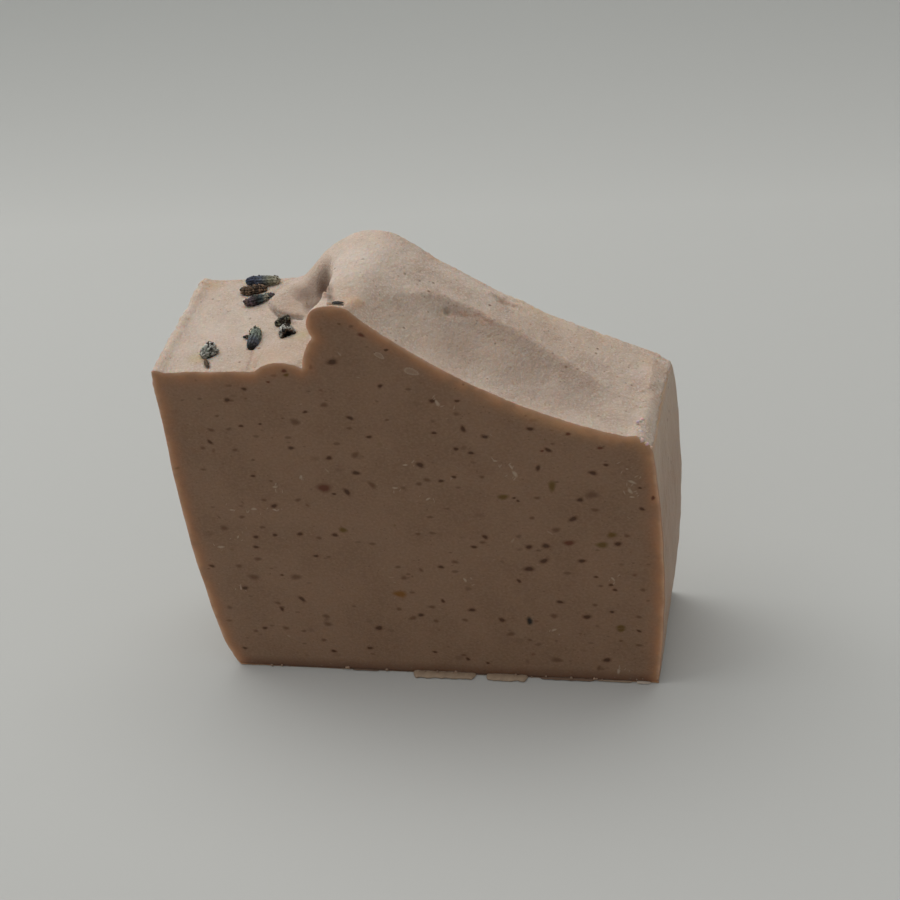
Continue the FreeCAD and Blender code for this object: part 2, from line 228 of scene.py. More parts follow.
def side_of_path(x, y, path):
    """Signed distance from a path in plan, plus on its left, and the share of the way along."""
    best = np.full(x.shape, 1e9)
    signed = np.zeros(x.shape)
    share = np.zeros(x.shape)
    for number, (a, b) in enumerate(zip(path, path[1:])):
        way = np.array(b) - np.array(a)
        length = np.linalg.norm(way)
        along = np.clip(((x - a[0]) * way[0] + (y - a[1]) * way[1]) / length**2, 0, 1)
        dx, dy = x - a[0] - along * way[0], y - a[1] - along * way[1]
        distance = np.hypot(dx, dy)
        nearer = distance < best
        best = np.where(nearer, distance, best)
        side = np.sign(way[0] * dy - way[1] * dx)
        signed = np.where(nearer, side * distance, signed)
        share = np.where(nearer, (number + along) / (len(path) - 1), share)
    return signed, share


# The front edge of the spilled tongue, where its underside meets the plateau, in X and Y
TONGUE_EDGE = ((-26.2, 7.6), (-25.5, 6.3), (-24.6, 4.9), (-22.8, 3.0), (-21.6, 2.2), (-20.1, 1.6),
               (-18.6, 1.3), (-17.4, 1.5))
# The groove between the curled lip and the crest, down to the slit
LIP_GROOVE = ((-10.9, -3.4), (-9.5, -6.2), (-8.6, -8.4), (-7.9, -10.0), (-7.0, -11.0))
SLIT = ((-8.4, -11.1), (-5.6, -10.6))
BUD_CREASE = ((-24.4, -5.6), (-24.0, -8.0), (-23.6, -10.0), (-23.4, -12.0))
CRACK = ((6.2, 0.7), (8.4, 1.7), (11.5, 2.9), (14.0, 2.4))
FLAP = ((-5.0, -11.4), (-4.6, -9.4), (-4.0, -7.4))
LIP_TIP = (-9.3, -7.9)
# The bead along the left end lies here in X, and the one along the right end here in Y and X
LEFT_BEAD = -39.8
RIM_LINE = ((-12.0, 37.2), (-8.0, 37.6), (0.0, 38.0), (13.0, 37.8))
# The front end of the right bead, the crumbly corner below it, and the rough corner at the
# back of the left bead
RIM_FRONT = (37.6, -11.2)
RIM_CORNER = (39.0, -11.0, 47.6)
BACK_LEFT = (-38.6, 12.6)
# Furrows: path, share of it in which it fades in, width and depth
CREASES = (
    (TONGUE_EDGE, 0.6, 0.28, 0.5), (LIP_GROOVE, 0.1, 0.5, 0.55), (SLIT, 0.1, 0.34, 0.7),
    (BUD_CREASE, 0.1, 0.45, 0.14), (CRACK, 0.1, 0.26, 0.1),
)
# The skin isn't moved at the foot, and moves fully from this height up
FOOT_FADE = 1.2

# Dents and swellings of the top: middle, reach along X, Y and Z, and how far it moves outward
DENTS = (
    ((-14.8, 3.6, 67.3), (3.2, 4.6, 2.5), -3.4),
    ((-17.8, 6.6, 65.8), (3.2, 3.6, 1.8), -0.9),
    ((39.4, 12.8, 50.0), (2.4, 3.0, 1.8), -0.7),
    ((-12.4, -3.2, 68.2), (2.0, 3.4, 2.4), -1.4),
    ((-10.6, 3.2, 71.4), (1.3, 3.4, 1.4), 0.35),
    ((-9.4, -4.6, 72.2), (1.0, 2.6, 1.4), 0.3),
    ((6.9, 1.0, 64.3), (0.6, 0.5, 0.8), -0.7),
    ((8.6, 1.7, 63.6), (1.3, 0.4, 1.3), -0.25),
    ((14.2, 8.9, 61.9), (1.3, 0.7, 1.6), -0.6),
    ((16.0, 9.6, 61.0), (0.9, 0.5, 1.2), 0.35),
    ((12.2, 9.9, 63.2), (0.9, 0.4, 1.2), 0.3),
    ((20.0, 3.6, 57.6), (0.5, 0.35, 0.8), -0.3),
    ((1.6, 6.0, 68.6), (0.35, 0.3, 0.6), -0.3),
    ((-3.0, -8.6, 70.2), (0.3, 0.3, 0.6), -0.3),
    ((3.2, -9.8, 65.6), (0.45, 0.45, 0.8), -0.35),
    ((9.8, -9.3, 60.8), (0.3, 0.3, 0.6), -0.3),
    ((-20.6, 7.5, 65.0), (4.2, 4.0, 2.0), 0.25),
    ((-31.0, 2.0, 63.0), (6.0, 7.0, 3.0), -0.15),
    ((-21.5, -8.5, 62.4), (3.6, 3.4, 2.0), 0.22),
    ((22.0, 6.5, 57.0), (7.0, 3.0, 4.0), -0.2),
    ((-1.0, 8.0, 70.0), (4.0, 4.0, 3.0), 0.18),
)


def between(along, start, end):
    """A path's share that fades in up to start and out from end."""
    return smoothstep(0.0, start, along) * smoothstep(1.0, end, along)


def folds(x, y):
    """The soft step and ridge of the fold down the long slope."""
    across, along = side_of_path(x, y, FOLD)
    step = np.tanh((across + 1.7) / 1.7) * bell(across + 1.0, 6.5)
    ridge = 0.32 * bell(across, 0.9) - 0.26 * bell(across - 2.8, 1.5)
    return (0.62 * step + ridge) * between(along, 0.34, 0.8) * smoothstep(-8.0, -4.0, x)


def dents(x, y, z):
    """The soft dents and swellings, the hollow behind the lip among them."""
    moved = np.zeros(x.shape)
    for centre, reach, amount in DENTS:
        off = sum(((c - m) / r) ** 2 for c, m, r in zip((x, y, z), centre, reach))
        moved += amount * np.exp(-off) * (z > TOP_FROM)
    return moved


def creases(x, y):
    """Narrow furrows, with the raised lip of the tongue, the loose flap and the lip's tip."""
    moved = np.zeros(x.shape)
    for path, start, width, depth in CREASES:
        across, along = side_of_path(x, y, path)
        moved -= depth * bell(across, width) * between(along, start, 0.9)
    across, along = side_of_path(x, y, TONGUE_EDGE)
    moved += 0.12 * bell(across - 0.9, 0.6) * between(along, 0.1, 0.9)
    across, along = side_of_path(x, y, FLAP)
    moved += 0.3 * bell(across, 0.9) * smoothstep(1.0, 0.8, along)
    return moved + 0.95 * bell(np.hypot(x - LIP_TIP[0], y - LIP_TIP[1]), 0.55)


def edges(x, y, z, upper, broad, fine):
    """The beads along both ends of the top, with the rough corners and the rough back edge."""
    bead = smoothstep(35.4, 37.4, x) * (z > RIM_FROM) * smoothstep(2.2, 0.6, 49.4 - z)
    corner = near((x, y, z), RIM_CORNER, 5.0)
    rough = near((x, y), BACK_LEFT, 9.0) * (z > PLATEAU_FROM)
    moved = np.abs(fine) * (0.2 * bead + 0.25 * corner + 0.25 * rough) + 0.12 * bead
    left_edge = bell(x - LEFT_BEAD, 1.6) * smoothstep(50.0, 60.6, z)
    moved += left_edge * (0.75 + 0.2 * broad + 0.12 * fine)
    back_edge = smoothstep(9.8, 12.4, y) * smoothstep(-2.0, 3.0, x) * upper
    moved += back_edge * (0.08 * fine + 0.12 * broad)
    along_rim = bell(x - np.interp(y, *zip(*RIM_LINE)), 1.0) * smoothstep(13.4, 9.0, y)
    lumps = (0.75 + 0.5 * broad) * (z > RIM_FROM)
    return moved + lumps * (0.42 * along_rim + 0.3 * near((x, y), RIM_FRONT, 2.6))


def sculpt(grid, normal):
    """Add the folds, dents and grain that the solid leaves out."""
    x, y, z = (grid[..., axis] for axis in range(3))
    upper = smoothstep(0.15, 0.5, normal[..., 2]) * (z > TOP_FROM)
    flat = grid.reshape(-1, 3)
    broad = cloud(flat, 5.0, 3.1).reshape(x.shape)
    fine = cloud(flat * (1.0, 1.0, 1.6), 0.9, 9.4).reshape(x.shape)
    moved = upper * (folds(x, y) + creases(x, y)) + dents(x, y, z)
    moved += 0.12 * broad + fine * (0.05 * upper + 0.02)
    moved += edges(x, y, z, upper, broad, fine)
    moved *= smoothstep(0.0, FOOT_FADE, z)
    return grid + normal * moved[..., None]


# Meshes

def new_object(name, corners, faces, material):
    mesh = bpy.data.meshes.new(name)
    mesh.from_pydata([tuple(c) for c in np.asarray(corners) * MM], [], faces)
    mesh.update()
    mesh.polygons.foreach_set("use_smooth", [True] * len(mesh.polygons))
    mesh.materials.append(material)
    piece = bpy.data.objects.new(name, mesh)
    bpy.context.scene.collection.objects.link(piece)
    return piece


def tube_faces(rows, count, first=0):
    """Faces of a tube whose points are counted row by row round it."""
    made = []
    for row in range(rows - 1):
        for number in range(count):
            following = (number + 1) % count
            a, b = first + row * count + number, first + row * count + following
            made.append((a, b, b + count, a + count))
    return made


def paint(piece, name, values):
    """Keep a value or a colour for each point, which the material reads by name."""
    values = np.asarray(values, float)
    kind = "FLOAT" if values.ndim == 1 else "FLOAT_COLOR"
    layer = piece.data.attributes.new(name, kind, "POINT")
    field = "value" if values.ndim == 1 else "color"
    layer.data.foreach_set(field, values.astype(np.float32).ravel())


def inset(ring, amount):
    """A ring of X and Z points moved inward by amount."""
    way = np.roll(ring, -1, axis=0) - np.roll(ring, 1, axis=0)
    way /= np.linalg.norm(way, axis=1, keepdims=True)
    return ring + np.stack([-way[:, 1], way[:, 0]], axis=1) * amount


def edge_rings(ring, outward):
    """Two rings that round the cut edge over to the cap, from the skin outward."""
    flat = ring[:, [0, 2]]
    made = []
    for turn in (45.0, 90.0):
        back = EDGE_RADIUS * (1 - math.cos(math.radians(turn)))
        out = EDGE_RADIUS * (1 - math.sin(math.radians(turn)))
        moved = inset(flat, back)
        y = np.full(len(ring), ring[0, 1] - outward * out)
        made.append(np.stack([moved[:, 0], y, moved[:, 1]], axis=1))
    return made


# The tones of the flecks in the cut faces, which are dried petals and clay
DARK = (0.066, 0.026, 0.010)
DIM = (0.15, 0.078, 0.042)
RUST = (0.12, 0.034, 0.014)
GOLD = (0.21, 0.085, 0.010)
OLIVE = (0.13, 0.073, 0.012)
BLACK = (0.003, 0.003, 0.003)
OAT = (0.44, 0.335, 0.24)
HALO = (0.17, 0.078, 0.040)
# Flecks seen in the photograph, by tone: the pixel, the length in mm and, where one isn't
# level, its slant in degrees
SEEN_FLECKS = {
    DARK: (
        (332, 362, 1.6), (227, 400, 1.1, 10), (244, 389, 0.9), (210, 442, 1.0, -40),
        (241, 426, 0.8), (260, 424, 0.6), (305, 412, 0.8, 10), (350, 418, 1.1, -20),
        (369, 437, 0.9), (380, 386, 0.9, 20), (386, 350, 0.7), (291, 448, 1.0, -10),
        (329, 458, 1.1, 10), (356, 473, 1.3), (253, 476, 0.8), (334, 494, 0.7),
        (347, 492, 1.4, -70), (274, 506, 1.2, 15), (256, 537, 1.0), (256, 547, 1.0),
        (275, 535, 0.9), (300, 534, 1.1), (335, 535, 1.1, -15), (316, 556, 0.9),
        (212, 566, 1.0, -20), (282, 575, 0.6), (245, 588, 1.2), (302, 599, 1.3, -45),
        (282, 609, 1.0, -65), (265, 628, 1.0), (379, 628, 1.4, 5), (245, 648, 0.9), (334, 651, 1.0),
        (370, 648, 1.0), (432, 401, 1.0), (457, 401, 0.8), (420, 465, 1.4, -20), (434, 433, 0.8),
        (456, 449, 0.9), (471, 453, 0.9), (463, 429, 1.2, -65), (485, 437, 1.0), (530, 429, 1.1),
        (548, 450, 1.1, -35), (538, 468, 1.1, 60), (593, 473, 1.2, -5), (606, 465, 0.8, -15),
        (454, 477, 0.8), (441, 481, 0.9), (514, 498, 0.6), (518, 501, 0.6, -20), (580, 500, 1.1),
        (640, 488, 0.6), (642, 509, 0.9, -15), (573, 519, 1.4, 30), (485, 537, 1.1, -35),
        (474, 547, 1.0), (529, 547, 1.2, 25), (546, 546, 1.4, -5), (618, 544, 1.2, 5),
        (544, 561, 1.4, 20), (582, 561, 1.2), (529, 569, 1.6), (441, 567, 1.0),
        (519, 581, 0.9, -60), (560, 602, 1.1, -10), (472, 610, 1.2), (502, 620, 1.2, -20),
        (435, 652, 0.8), (468, 659, 0.9, -50), (421, 615, 1.1), (443, 601, 0.9, -65),
        (587, 617, 1.4), (612, 612, 0.8), (639, 631, 0.8, -20), (611, 585, 0.8), (615, 590, 0.8),
        (596, 577, 0.7), (607, 660, 1.4, 5), (488, 663, 0.7),
    ),
    DIM: (
        (217, 416, 0.6), (211, 430, 1.0, -20), (203, 448, 0.8), (235, 450, 0.8),
        (295, 422, 1.5, -20), (324, 405, 1.1), (355, 455, 1.3, 30), (339, 324, 0.5),
        (387, 420, 0.6), (253, 460, 0.6), (271, 481, 0.6), (372, 485, 1.3, -60), (264, 500, 0.8),
        (242, 517, 0.9), (298, 500, 0.9, 10), (224, 528, 1.3), (319, 538, 0.8), (258, 559, 1.1),
        (239, 566, 1.0), (254, 577, 1.6), (296, 577, 1.6), (278, 603, 0.9, -20), (326, 616, 1.1),
        (286, 628, 1.0), (328, 624, 1.3), (399, 609, 0.9), (404, 578, 1.0), (324, 640, 0.9),
        (256, 631, 0.8), (304, 631, 0.8), (398, 567, 0.8), (427, 480, 1.0), (419, 484, 0.9),
        (482, 477, 0.7), (537, 498, 0.8), (592, 495, 1.7), (595, 510, 1.0), (532, 518, 0.8),
        (418, 534, 0.8), (556, 530, 1.2), (627, 536, 0.8), (421, 570, 0.8, -50), (455, 562, 1.0),
        (554, 616, 1.2), (511, 634, 1.2, 10), (530, 640, 0.7), (464, 655, 0.8), (413, 618, 1.2, 20),
        (432, 607, 1.0), (436, 621, 0.9), (465, 620, 0.9), (639, 617, 0.8), (621, 641, 0.6),
        (601, 586, 0.6), (643, 590, 0.8), (595, 605, 0.8), (557, 660, 1.5), (599, 668, 0.9, 70),
    ),
    RUST: (
        (268, 382, 0.6), (284, 371, 0.9), (361, 335, 1.0, -30), (324, 488, 2.3, 5), (568, 434, 0.8),
        (600, 448, 0.8), (542, 451, 0.6), (653, 498, 0.8, 80), (569, 543, 1.6),
    ),
    GOLD: (
        (400, 594, 1.9, 5),
    ),
    OLIVE: (
        (286, 375, 0.8), (343, 530, 1.3), (552, 486, 1.6, 75), (503, 497, 1.4), (612, 535, 1.3),
        (602, 545, 1.6, -5), (621, 627, 1.2), (621, 630, 1.1),
    ),
    BLACK: (
        (529.6, 621, 1.4, 80),
    ),
    OAT: (
        (411, 371.5, 2.6, -24), (379, 355.5, 1.9, -30), (232, 510, 0.8), (254, 509, 1.1),
        (275, 510, 0.9, -30), (275, 487, 0.9), (221, 547, 1.3), (238, 537, 0.7, 60),
        (395, 488, 0.9), (301, 477, 0.9, 70), (241, 588, 0.9, 80), (405, 465, 0.9),
        (511, 467, 0.9, -65), (515, 474, 1.4, -65), (627, 469, 0.5), (632, 482, 1.2, -25),
        (630, 491, 1.2, -60), (632, 497, 0.8, -10), (428, 499, 0.9, 30), (437, 403, 1.4, -60),
        (495, 461, 0.7), (465, 580, 1.0, -60), (613, 579, 0.9, -50), (554, 630, 1.0, 35),
        (618.6, 671.4, 1.2, 75),
    ),
}
# The table's lengths are those of the dark middles; with its soft edge a fleck is longer
FLECK_SPREAD = 1.3
# Widths of flecks and of pale chips as shares of their lengths, and how strongly they show
FLECK_SHAPE = 0.6
CHIP_SHAPE = 0.42
FLECK_STRENGTH = 0.92
# Random flecks are spread between these places in X and Z
FACE_X = (-41.0, 40.0)
FACE_Z = (0.0, 73.0)
# Chips at least this long show as a pale outline
CHIP_LENGTH = 1.6
# A fleck fades between these shares of its reach, and a chip's pale outline lies at the third
FLECK_CORE = 0.5
FLECK_END = 1.25
CHIP_LINE = 0.86
# The rings of points round a fleck: their reach as a share of its own, and their number
FLECK_RINGS = ((FLECK_CORE, 7), (0.85, 10), (FLECK_END, 11))
CHIP_RINGS = ((FLECK_CORE, 10), (0.72, 18), (CHIP_LINE, 20), (1.0, 22), (FLECK_END, 14))


def petal(angle, x, z):
    """How far an uneven fleck at x, z reaches in a direction, about 1."""
    return 1.0 + 0.1 * np.sin(2 * angle + 7 * x) + 0.09 * np.sin(3 * angle + 5 * z)


def fleck_points(flecks):
    """Points in and round each fleck, so that the cap's mesh can carry its outline."""
    points = []
    for x, z, length, slant, tone, shape, _ in flecks:
        points.append((x, z))
        c, s = math.cos(math.radians(slant)), math.sin(math.radians(slant))
        chip = tone == OAT and length > CHIP_LENGTH
        for size, count in CHIP_RINGS if chip else FLECK_RINGS:
            for angle in np.linspace(0, 2 * math.pi, count, endpoint=False):
                far = length / 2 * size * petal(angle, x, z)
                u, v = far * math.cos(angle), far * shape * math.sin(angle)
                points.append((x + u * c - v * s, z + u * s + v * c))
    return points


def fleck_paint(points, flecks):
    """Colour of the nearest fleck at each point, with how strongly it shows as alpha."""
    colour = np.zeros((len(points), 4))
    colour[:, :3] = DARK
    for x, z, length, slant, tone, shape, strength in flecks:
        c, s = math.cos(math.radians(slant)), math.sin(math.radians(slant))
        dx, dz = points[:, 0] - x, points[:, 1] - z
        u = (dx * c + dz * s) / (length / 2)
        v = (-dx * s + dz * c) / (length / 2 * shape)
        out = np.hypot(u, v) / petal(np.arctan2(v, u), x, z)
        inside = strength * (1.0 - smoothstep(FLECK_CORE, FLECK_END, out))
        tint = np.broadcast_to(np.array(tone), (len(points), 3))
        if tone in (DARK, RUST):
            tint = lerp(tint, np.array(HALO), smoothstep(FLECK_CORE, 1.1, out)[:, None])
        if tone == OAT and length > CHIP_LENGTH:
            inside = 0.8 * bell(out - CHIP_LINE, 0.11) + 0.3 * (out < 0.8)
            colour[out < 1.0, 3] = 0.0
        stronger = inside > colour[:, 3]
        beside = (out < 1.6) & (colour[:, 3] == 0)
        colour[beside, :3] = tint[beside]
        colour[stronger, :3] = tint[stronger]
        colour[stronger, 3] = inside[stronger]
    return colour


def scratches(flecks, seed):
    """Short pale strokes round each pale chip."""
    rand = random.Random(seed)
    made = []
    for x, z, length, _, tone, _, _ in flecks:
        if tone == OAT and length < CHIP_LENGTH:
            for _ in range(3):
                made.append((x + rand.uniform(-1.5, 1.5), z + rand.uniform(-1.2, 1.2),
                             rand.uniform(0.4, 0.9), rand.gauss(65, 25), OAT, 0.25, 0.6))
    return made


def random_flecks(count, strongest, seed):
    """Small flecks spread over a cut face at random."""
    rand = random.Random(seed)
    made = []
    for _ in range(count):
        x, z = rand.uniform(*FACE_X), rand.uniform(*FACE_Z)
        length = 0.4 + 0.9 * rand.random() ** 2.0
        tone = rand.choices((DARK, RUST, OLIVE, OAT), (58, 14, 8, 20))[0]
        slant, shape = rand.gauss(0, 25), rand.uniform(0.4, 0.85)
        strength = rand.uniform(0.25, strongest)
        if tone == OAT:
            slant, shape = rand.uniform(-80, 80), 0.28
        made.append((x, z, length, slant, tone, shape, strength))
    return made


# How far inside the cut edge the rows of points lie that carry its painted glow
RIM_ROWS = (0.36, 0.75, 1.3, 2.0, 2.9)
# The painted glow ends at this height above the foot
GLOW_FOOT = 1.2


def rim_points(ring):
    """Rows of points inside the outline of a cut face, wider apart further in."""
    made = []
    for row, inward in enumerate(RIM_ROWS):
        moved = inset(ring, inward)[::1 + row]
        made.append(moved[clear_of_ring(moved, ring, inward * 0.93)])
    return np.concatenate(made)


def rim_distance(points, ring):
    """Distance in mm of each point of a cut face from its poured or moulded outline."""
    glowing = ring[ring[:, 1] > GLOW_FOOT]
    return np.array([np.hypot(*(glowing - p).T).min() for p in points])


def fill_cap(ring, flecks, seed):
    """A mesh over a flat ring, with points at the flecks.

    Returns its points, its triangles and the number that each point had when it was given.
    """
    rand = random.Random(seed)
    low, high = ring.min(axis=0), ring.max(axis=0)
    grid = []
    for gx in np.arange(low[0], high[0], CAP_STEP):
        for gz in np.arange(low[1], high[1], CAP_STEP):
            jitter = CAP_STEP * 0.3
            grid.append((gx + rand.uniform(-jitter, jitter), gz + rand.uniform(-jitter, jitter)))
    loose = np.array(grid + fleck_points(flecks))
    loose = loose[clear_of_ring(loose, ring, 0.3)]
    loose = np.concatenate([loose, rim_points(ring)])
    corners = [Vector(p) for p in ring] + [Vector(p) for p in loose]
    border = [list(range(len(ring)))]
    found = delaunay_2d_cdt(corners, [], border, 1, 1e-5)
    points = np.array([tuple(v) for v in found[0]])
    source = np.array([min(ids) if ids else -1 for ids in found[3]])
    return points, np.array(found[2]), source


def clear_of_ring(points, ring, gap):
    """Which points lie inside a ring and at least a gap away from it."""
    x, z = points[:, 0], points[:, 1]
    inside = np.zeros(len(points), bool)
    nearest = np.full(len(points), 1e9)
    for (ax, az), (bx, bz) in zip(ring, np.roll(ring, -1, axis=0)):
        if az != bz:
            crosses = (az > z) != (bz > z)
            inside ^= crosses & (x < (bx - ax) * (z - az) / (bz - az) + ax)
        nearest = np.minimum(nearest, np.hypot(x - ax, z - az))
    return inside & (nearest > gap)


def seen_flecks(camera, face_y):
    """The flecks of the photograph, at their places on the front face."""
    made = []
    for tone, listed in SEEN_FLECKS.items():
        spread, shape = (1.0, CHIP_SHAPE) if tone == OAT else (FLECK_SPREAD, FLECK_SHAPE)
        for pixel_x, pixel_y, length, *slant in listed:
            where = seen_on_face(camera, pixel_x, pixel_y, face_y)
            made.append((*where, length * spread, sum(slant), tone, shape, FLECK_STRENGTH))
    return made + scratches(made, 8)


def bar_rings(solid):
    """The sculpted skin with its rounded cut edges, ring by ring from front to back."""
    grid = read_skin(solid)
    grid = sculpt(grid, skin_normals(grid))
    front = edge_rings(grid[0], -1.0)
    back = edge_rings(grid[-1], 1.0)
    grid[0, :, 1] += EDGE_RADIUS
    grid[-1, :, 1] -= EDGE_RADIUS
    rings = np.stack(front[::-1] + list(grid) + back)
    rings[0, :, 1], rings[1, :, 1] = solid.front, solid.front + EDGE_RADIUS * 0.3
    rings[-1, :, 1], rings[-2, :, 1] = solid.back, solid.back - EDGE_RADIUS * 0.3
    return rings


def make_bar(solid, camera, material):
    rings = bar_rings(solid)
    levels, count = rings.shape[:2]
    corners = [rings.reshape(-1, 3)]
    faces = [(a, d, c, b) for a, b, c, d in tube_faces(levels, count)]
    front_flecks = random_flecks(170, 0.5, 5) + seen_flecks(camera, solid.front)
    back_flecks = random_flecks(420, 0.95, 11)
    # For each cap: its ring, Y, flecks, the number of its ring's first point, which is its seed
    # too, and which way round its triangles go
    caps = (
        (rings[0], solid.front, front_flecks, 0, 1),
        (rings[-1], solid.back, back_flecks, (levels - 1) * count, -1),
    )
    poured, colours = [zones(rings).ravel()], [stains_and_painted_light(rings.reshape(-1, 3))]
    rims = [np.zeros(levels * count)]
    total = levels * count
    for ring, y, listed, first, way in caps:
        outline = ring[:, [0, 2]]
        points, triangles, source = fill_cap(outline, listed, first)
        added = (source < 0) | (source >= count)
        index = np.where(added, total + np.cumsum(added) - 1, first + source)
        flat = points[added]
        total += len(flat)
        corners.append(np.stack([flat[:, 0], np.full(len(flat), y), flat[:, 1]], axis=1))
        poured.append(np.zeros(len(flat)))
        rims.append(rim_distance(flat, outline))
        colours.append(fleck_paint(flat, listed))
        faces += [tuple(corner) for corner in index[triangles][:, ::way].tolist()]

    bar = new_object("poured_slice", np.concatenate(corners), faces, material)
    paint(bar, "poured", np.concatenate(poured))
    # The fleck layer carries the flecks on the cut faces and, on the skin, the stained patches with
    # the painted shade and highlight of the top
    paint(bar, "fleck", np.concatenate(colours))
    paint(bar, "rim", np.concatenate(rims))
    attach(bar, "root")
    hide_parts("soap_bar")
    return bar


# The colours of the painted shade under the fold and of the rusty back edge
FOLD_PAINTED_SHADE = (0.31, 0.235, 0.185)
BACK_RUST = (0.45, 0.23, 0.12)
# Stains on the poured top, with painted shade and a painted highlight among them: middle in X, Y
# and Z, reach in mm, strength and colour
STAIN_AND_PAINTED_LIGHT_MARKS = (
    # Painted shade in the hollow behind the lip
    ((-15.9, 6.8, 66.0), 2.4, 0.93, (0.115, 0.060, 0.037)),
    ((-14.6, 4.8, 66.2), 2.5, 0.93, (0.095, 0.050, 0.031)),
    ((-16.8, 4.8, 64.6), 2.0, 0.85, (0.115, 0.064, 0.041)),
    ((-12.6, 1.0, 67.0), 3.0, 0.9, (0.095, 0.050, 0.031)),
    ((-14.8, 6.8, 68.4), 2.4, 0.7, (0.15, 0.092, 0.062)),
    ((-18.5, 7.2, 65.4), 3.0, 0.72, (0.19, 0.125, 0.09)),
    ((-20.4, 4.6, 65.0), 3.6, 0.42, (0.40, 0.30, 0.23)),
    # A paler patch on the left plateau
    ((-33.0, 0.0, 62.5), 9.0, 0.4, (0.65, 0.545, 0.46)),
    # Painted highlight on the crest
    ((-6.5, 4.0, 73.0), 7.0, 0.45, (0.68, 0.575, 0.49)),
    # Darker pits, and stained patches
    ((13.3, 8.4, 62.2), 0.4, 0.7, (0.16, 0.09, 0.06)),
    ((14.6, 8.2, 61.6), 0.45, 0.7, (0.18, 0.10, 0.065)),
    ((15.7, 9.0, 61.0), 0.35, 0.6, (0.18, 0.10, 0.065)),
    ((18.2, 11.6, 59.4), 0.9, 0.5, (0.46, 0.24, 0.11)),
    ((6.9, 1.0, 63.9), 0.6, 0.6, (0.30, 0.19, 0.14)),
    ((14.2, 8.9, 61.4), 1.1, 0.7, (0.36, 0.22, 0.16)),
    ((20.0, 12.4, 59.8), 4.0, 0.4, (0.54, 0.37, 0.22)),
    ((30.0, 11.8, 55.0), 4.0, 0.3, (0.54, 0.38, 0.24)),
    # Painted shade on the slope in front of the fold
    ((9.5, -3.2, 61.0), 6.5, 0.45, FOLD_PAINTED_SHADE),
    ((19.0, -3.6, 55.6), 6.5, 0.5, FOLD_PAINTED_SHADE),
    ((26.0, -4.6, 52.0), 5.5, 0.4, FOLD_PAINTED_SHADE),
    ((1.0, -7.0, 66.5), 5.0, 0.3, (0.36, 0.28, 0.215)),
    # Stained patches, the peach flap and the rusty back edge
    ((-37.6, 12.0, 64.6), 1.8, 0.5, (0.50, 0.33, 0.18)),
    ((-33.2, -8.0, 61.6), 1.7, 0.45, (0.52, 0.42, 0.20)),
    ((-31.5, -2.5, 62.6), 1.3, 0.3, (0.55, 0.42, 0.24)),
    ((-16.7, -3.4, 62.9), 1.1, 0.5, (0.50, 0.42, 0.20)),
    ((-4.5, -9.2, 71.4), 1.5, 0.6, (0.60, 0.37, 0.22)),
    ((12.0, 2.9, 62.0), 1.3, 0.4, (0.52, 0.30, 0.21)),
    ((9.0, 1.9, 63.4), 1.0, 0.35, (0.50, 0.29, 0.21)),
    ((3.0, 13.0, 68.6), 1.5, 0.5, BACK_RUST),
    ((6.5, 13.0, 66.6), 1.1, 0.35, BACK_RUST),
    ((-8.0, -11.2, 72.1), 0.8, 0.35, (0.60, 0.45, 0.36)),
)
# Colour in the furrows, painted shadow under the tongue's edge, in the slit and in the lip's
# groove, and the tint of the crack and the bud crease: path, share of it in which it fades in,
# width, strength and colour
CREASE_SHADOWS_AND_TINTS = (
    (TONGUE_EDGE, 0.6, 0.26, 0.95, (0.085, 0.042, 0.02)),
    (SLIT, 0.15, 0.3, 0.95, (0.03, 0.02, 0.014)),
    (LIP_GROOVE, 0.15, 0.55, 0.55, (0.17, 0.11, 0.08)),
    (CRACK, 0.15, 0.35, 0.45, (0.40, 0.22, 0.15)),
    (BUD_CREASE, 0.15, 0.3, 0.25, (0.25, 0.18, 0.13)),
)
CREASES_FROM = 55.0


def stains_and_painted_light(points):
    """Colour and strength at each point of the stained patches and cracks, of the painted shade in
    the hollow, in front of the fold and in the furrows, and of the painted highlight on the crest.
    """
    x, y, z = points.T
    colour = np.zeros((len(points), 4))
    marks = []
    for centre, reach, strength, tint in STAIN_AND_PAINTED_LIGHT_MARKS:
        marks.append((strength * near((x, y, z), centre, reach**2), tint))
    for path, start, width, strength, tint in CREASE_SHADOWS_AND_TINTS:
        across, along = side_of_path(x, y, path)
        share = strength * bell(across, width) * between(along, start, 0.9)
        marks.append((share * (z > CREASES_FROM), tint))
    for share, tint in marks:
        stronger = share > colour[:, 3]
        colour[stronger, :3] = tint
        colour[stronger, 3] = share[stronger]
    return colour


# What lies between these walls and above this height is poured top, steep or not
POURED_LEFT = -38.8
POURED_RIGHT = 37.0
POURED_FROM = 52.0


def zones(rings):
    """1 on the poured top, 0 on the cut faces, and minus 1 on the moulded walls and foot."""
    normal = skin_normals(rings)
    x, z = rings[..., 0], rings[..., 2]
    top = smoothstep(0.1, 0.6, normal[..., 2])
    sure = (z > POURED_FROM) & (x > POURED_LEFT) & (x < POURED_RIGHT)
    top = np.where(sure, 1.0, top)
    value = lerp(-1.0, 1.0, top)
    value[0] = value[-1] = 0.0
    return value


# Pieces built from many small parts

